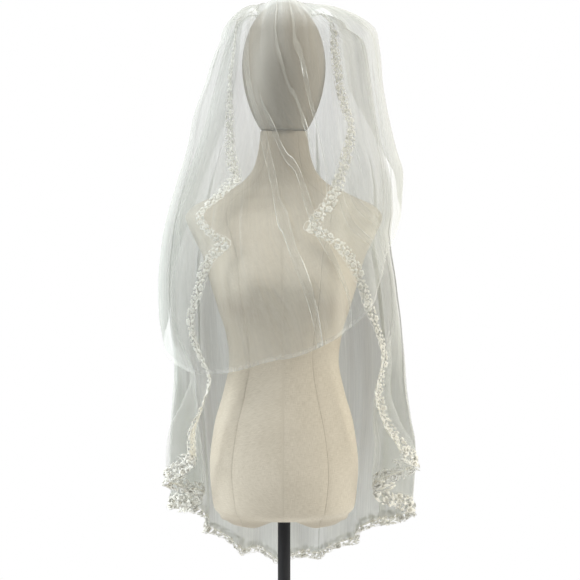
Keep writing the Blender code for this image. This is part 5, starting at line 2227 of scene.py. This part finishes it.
@dataclass(frozen=True)
class Studio:
    """The white studio: its floor, lights and camera."""

    floor_radius: float = 1.45
    floor_points: int = 96
    look_at: tuple[float, float, float] = (0.0117, 0.0, 1.0963)
    distance: float = 2.3
    elevation: float = math.radians(4.0)
    half_height: float = 0.5655
    ambient: float = 0.55
    front_share: float = 0.20
    upper_share: float = 0.8
    softboxes: tuple[Softbox, ...] = (
        Softbox("key_left", (-2.2, -0.5, 2.1), (0.0, 0.0, 1.2), 1.5, 82.0, (0.925, 0.975, 1.0)),
        Softbox("fill_right", (2.2, -0.5, 2.1), (0.0, 0.0, 1.2), 1.5, 68.0, (1.0, 0.965, 0.87)),
        Softbox("top", (-0.1, -0.1, 3.3), (0.0, 0.0, 1.0), 1.4, 25.0),
        Softbox("back", (0.3, 2.6, 1.9), (0.0, 0.0, 1.1), 1.6, 34.0),
    )

    def add_camera(self) -> None:
        """Stand the camera in front, slightly above and looking slightly down."""
        forward = np.array((0.0, math.cos(self.elevation), -math.sin(self.elevation)))
        sight = bpy.data.cameras.new("camera")
        sight.sensor_width = 36.0
        sight.lens = 18.0 * self.distance / self.half_height
        sight.clip_start = 0.05
        holder = bpy.data.objects.new("camera", sight)
        holder.location = np.array(self.look_at) - forward * self.distance
        holder.rotation_euler = (math.pi / 2 - self.elevation, 0.0, 0.0)
        bpy.context.scene.collection.objects.link(holder)
        bpy.context.scene.camera = holder

    def add_floor(self) -> None:
        """Lay a round floor: one face with its corners on a circle."""
        turn = np.linspace(0, 2 * math.pi, self.floor_points, endpoint=False)
        rim = np.stack((np.cos(turn), np.sin(turn), np.zeros_like(turn)), axis=-1) * self.floor_radius
        mesh = bpy.data.meshes.new("floor")
        mesh.from_pydata(rim.tolist(), [], [list(range(self.floor_points))])
        mesh.materials.append(FloorPaint().make())
        floor = bpy.data.objects.new("floor", mesh)
        bpy.context.scene.collection.objects.link(floor)

    def add_world(self) -> None:
        """White surroundings, at full strength to the eye, and as light softer and from the sides.

        As light, the strength in a direction is the ambient strength times a share that
        grows with how far the direction points aside and upwards.
        """
        sky = Sky("studio")
        sideways, _, upwards = sky.parts(sky.node("ShaderNodeTexCoord", output="Generated"))
        aimed = sky.node("ShaderNodeMath", {"operation": "MULTIPLY_ADD", "use_clamp": True},
                         {0: upwards, 1: self.upper_share, 2: sideways.math("POWER", 2.0)})
        least = self.ambient * self.front_share
        light = sky.node("ShaderNodeMapRange", None,
                         {"Value": aimed, "To Min": least, "To Max": self.ambient})
        seen = sky.node("ShaderNodeLightPath", output="Is Camera Ray")
        strength = sky.node("ShaderNodeMapRange", None, {"Value": seen, "To Min": light, "To Max": 1.0})
        sky.set(Color=(1.0, 1.0, 1.0, 1.0), Strength=strength)
        bpy.context.scene.world = sky.world

    def add(self) -> None:
        """Set up the camera, lights, floor and surroundings."""
        self.add_camera()
        for softbox in self.softboxes:
            softbox.add()
        self.add_floor()
        self.add_world()
        scene = bpy.context.scene
        scene.view_settings.view_transform = "Standard"
        scene.cycles.transparent_max_bounces = 48


def corners(bounds: tuple[Vector, Vector]) -> list[list[float]]:
    """A box's lowest and highest corners as plain lists."""
    return [list(corner) for corner in bounds]


def main() -> None:
    """Build and dress every piece in order."""
    logging.basicConfig(level=logging.INFO, format="%(name)s: %(message)s", stream=sys.stdout)
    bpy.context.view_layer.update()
    Studio().add()
    Stand().add(Paint().make())
    form = DressForm()
    form.add_torso(Linen().make())
    # The head's linen gets darker colours as painted shade.
    form.add_head(Linen(name="head_linen_painted_shade", colour=(0.30, 0.27, 0.22, 1.0),
                        slub=(0.23, 0.205, 0.165, 1.0)).make())
    headpiece = Headpiece()
    headpiece.dress_comb(Plastic().make())
    headpiece.add_band(Satin().make())
    thread = LaceThread().make()
    lace = [LaceStrip(side).add(thread) for side in Side]
    veil = Veil()
    tulle = Tulle().make()
    veil.add_long_tier(tulle)
    veil.add_blusher(tulle)


if __name__ == "__main__":
    main()
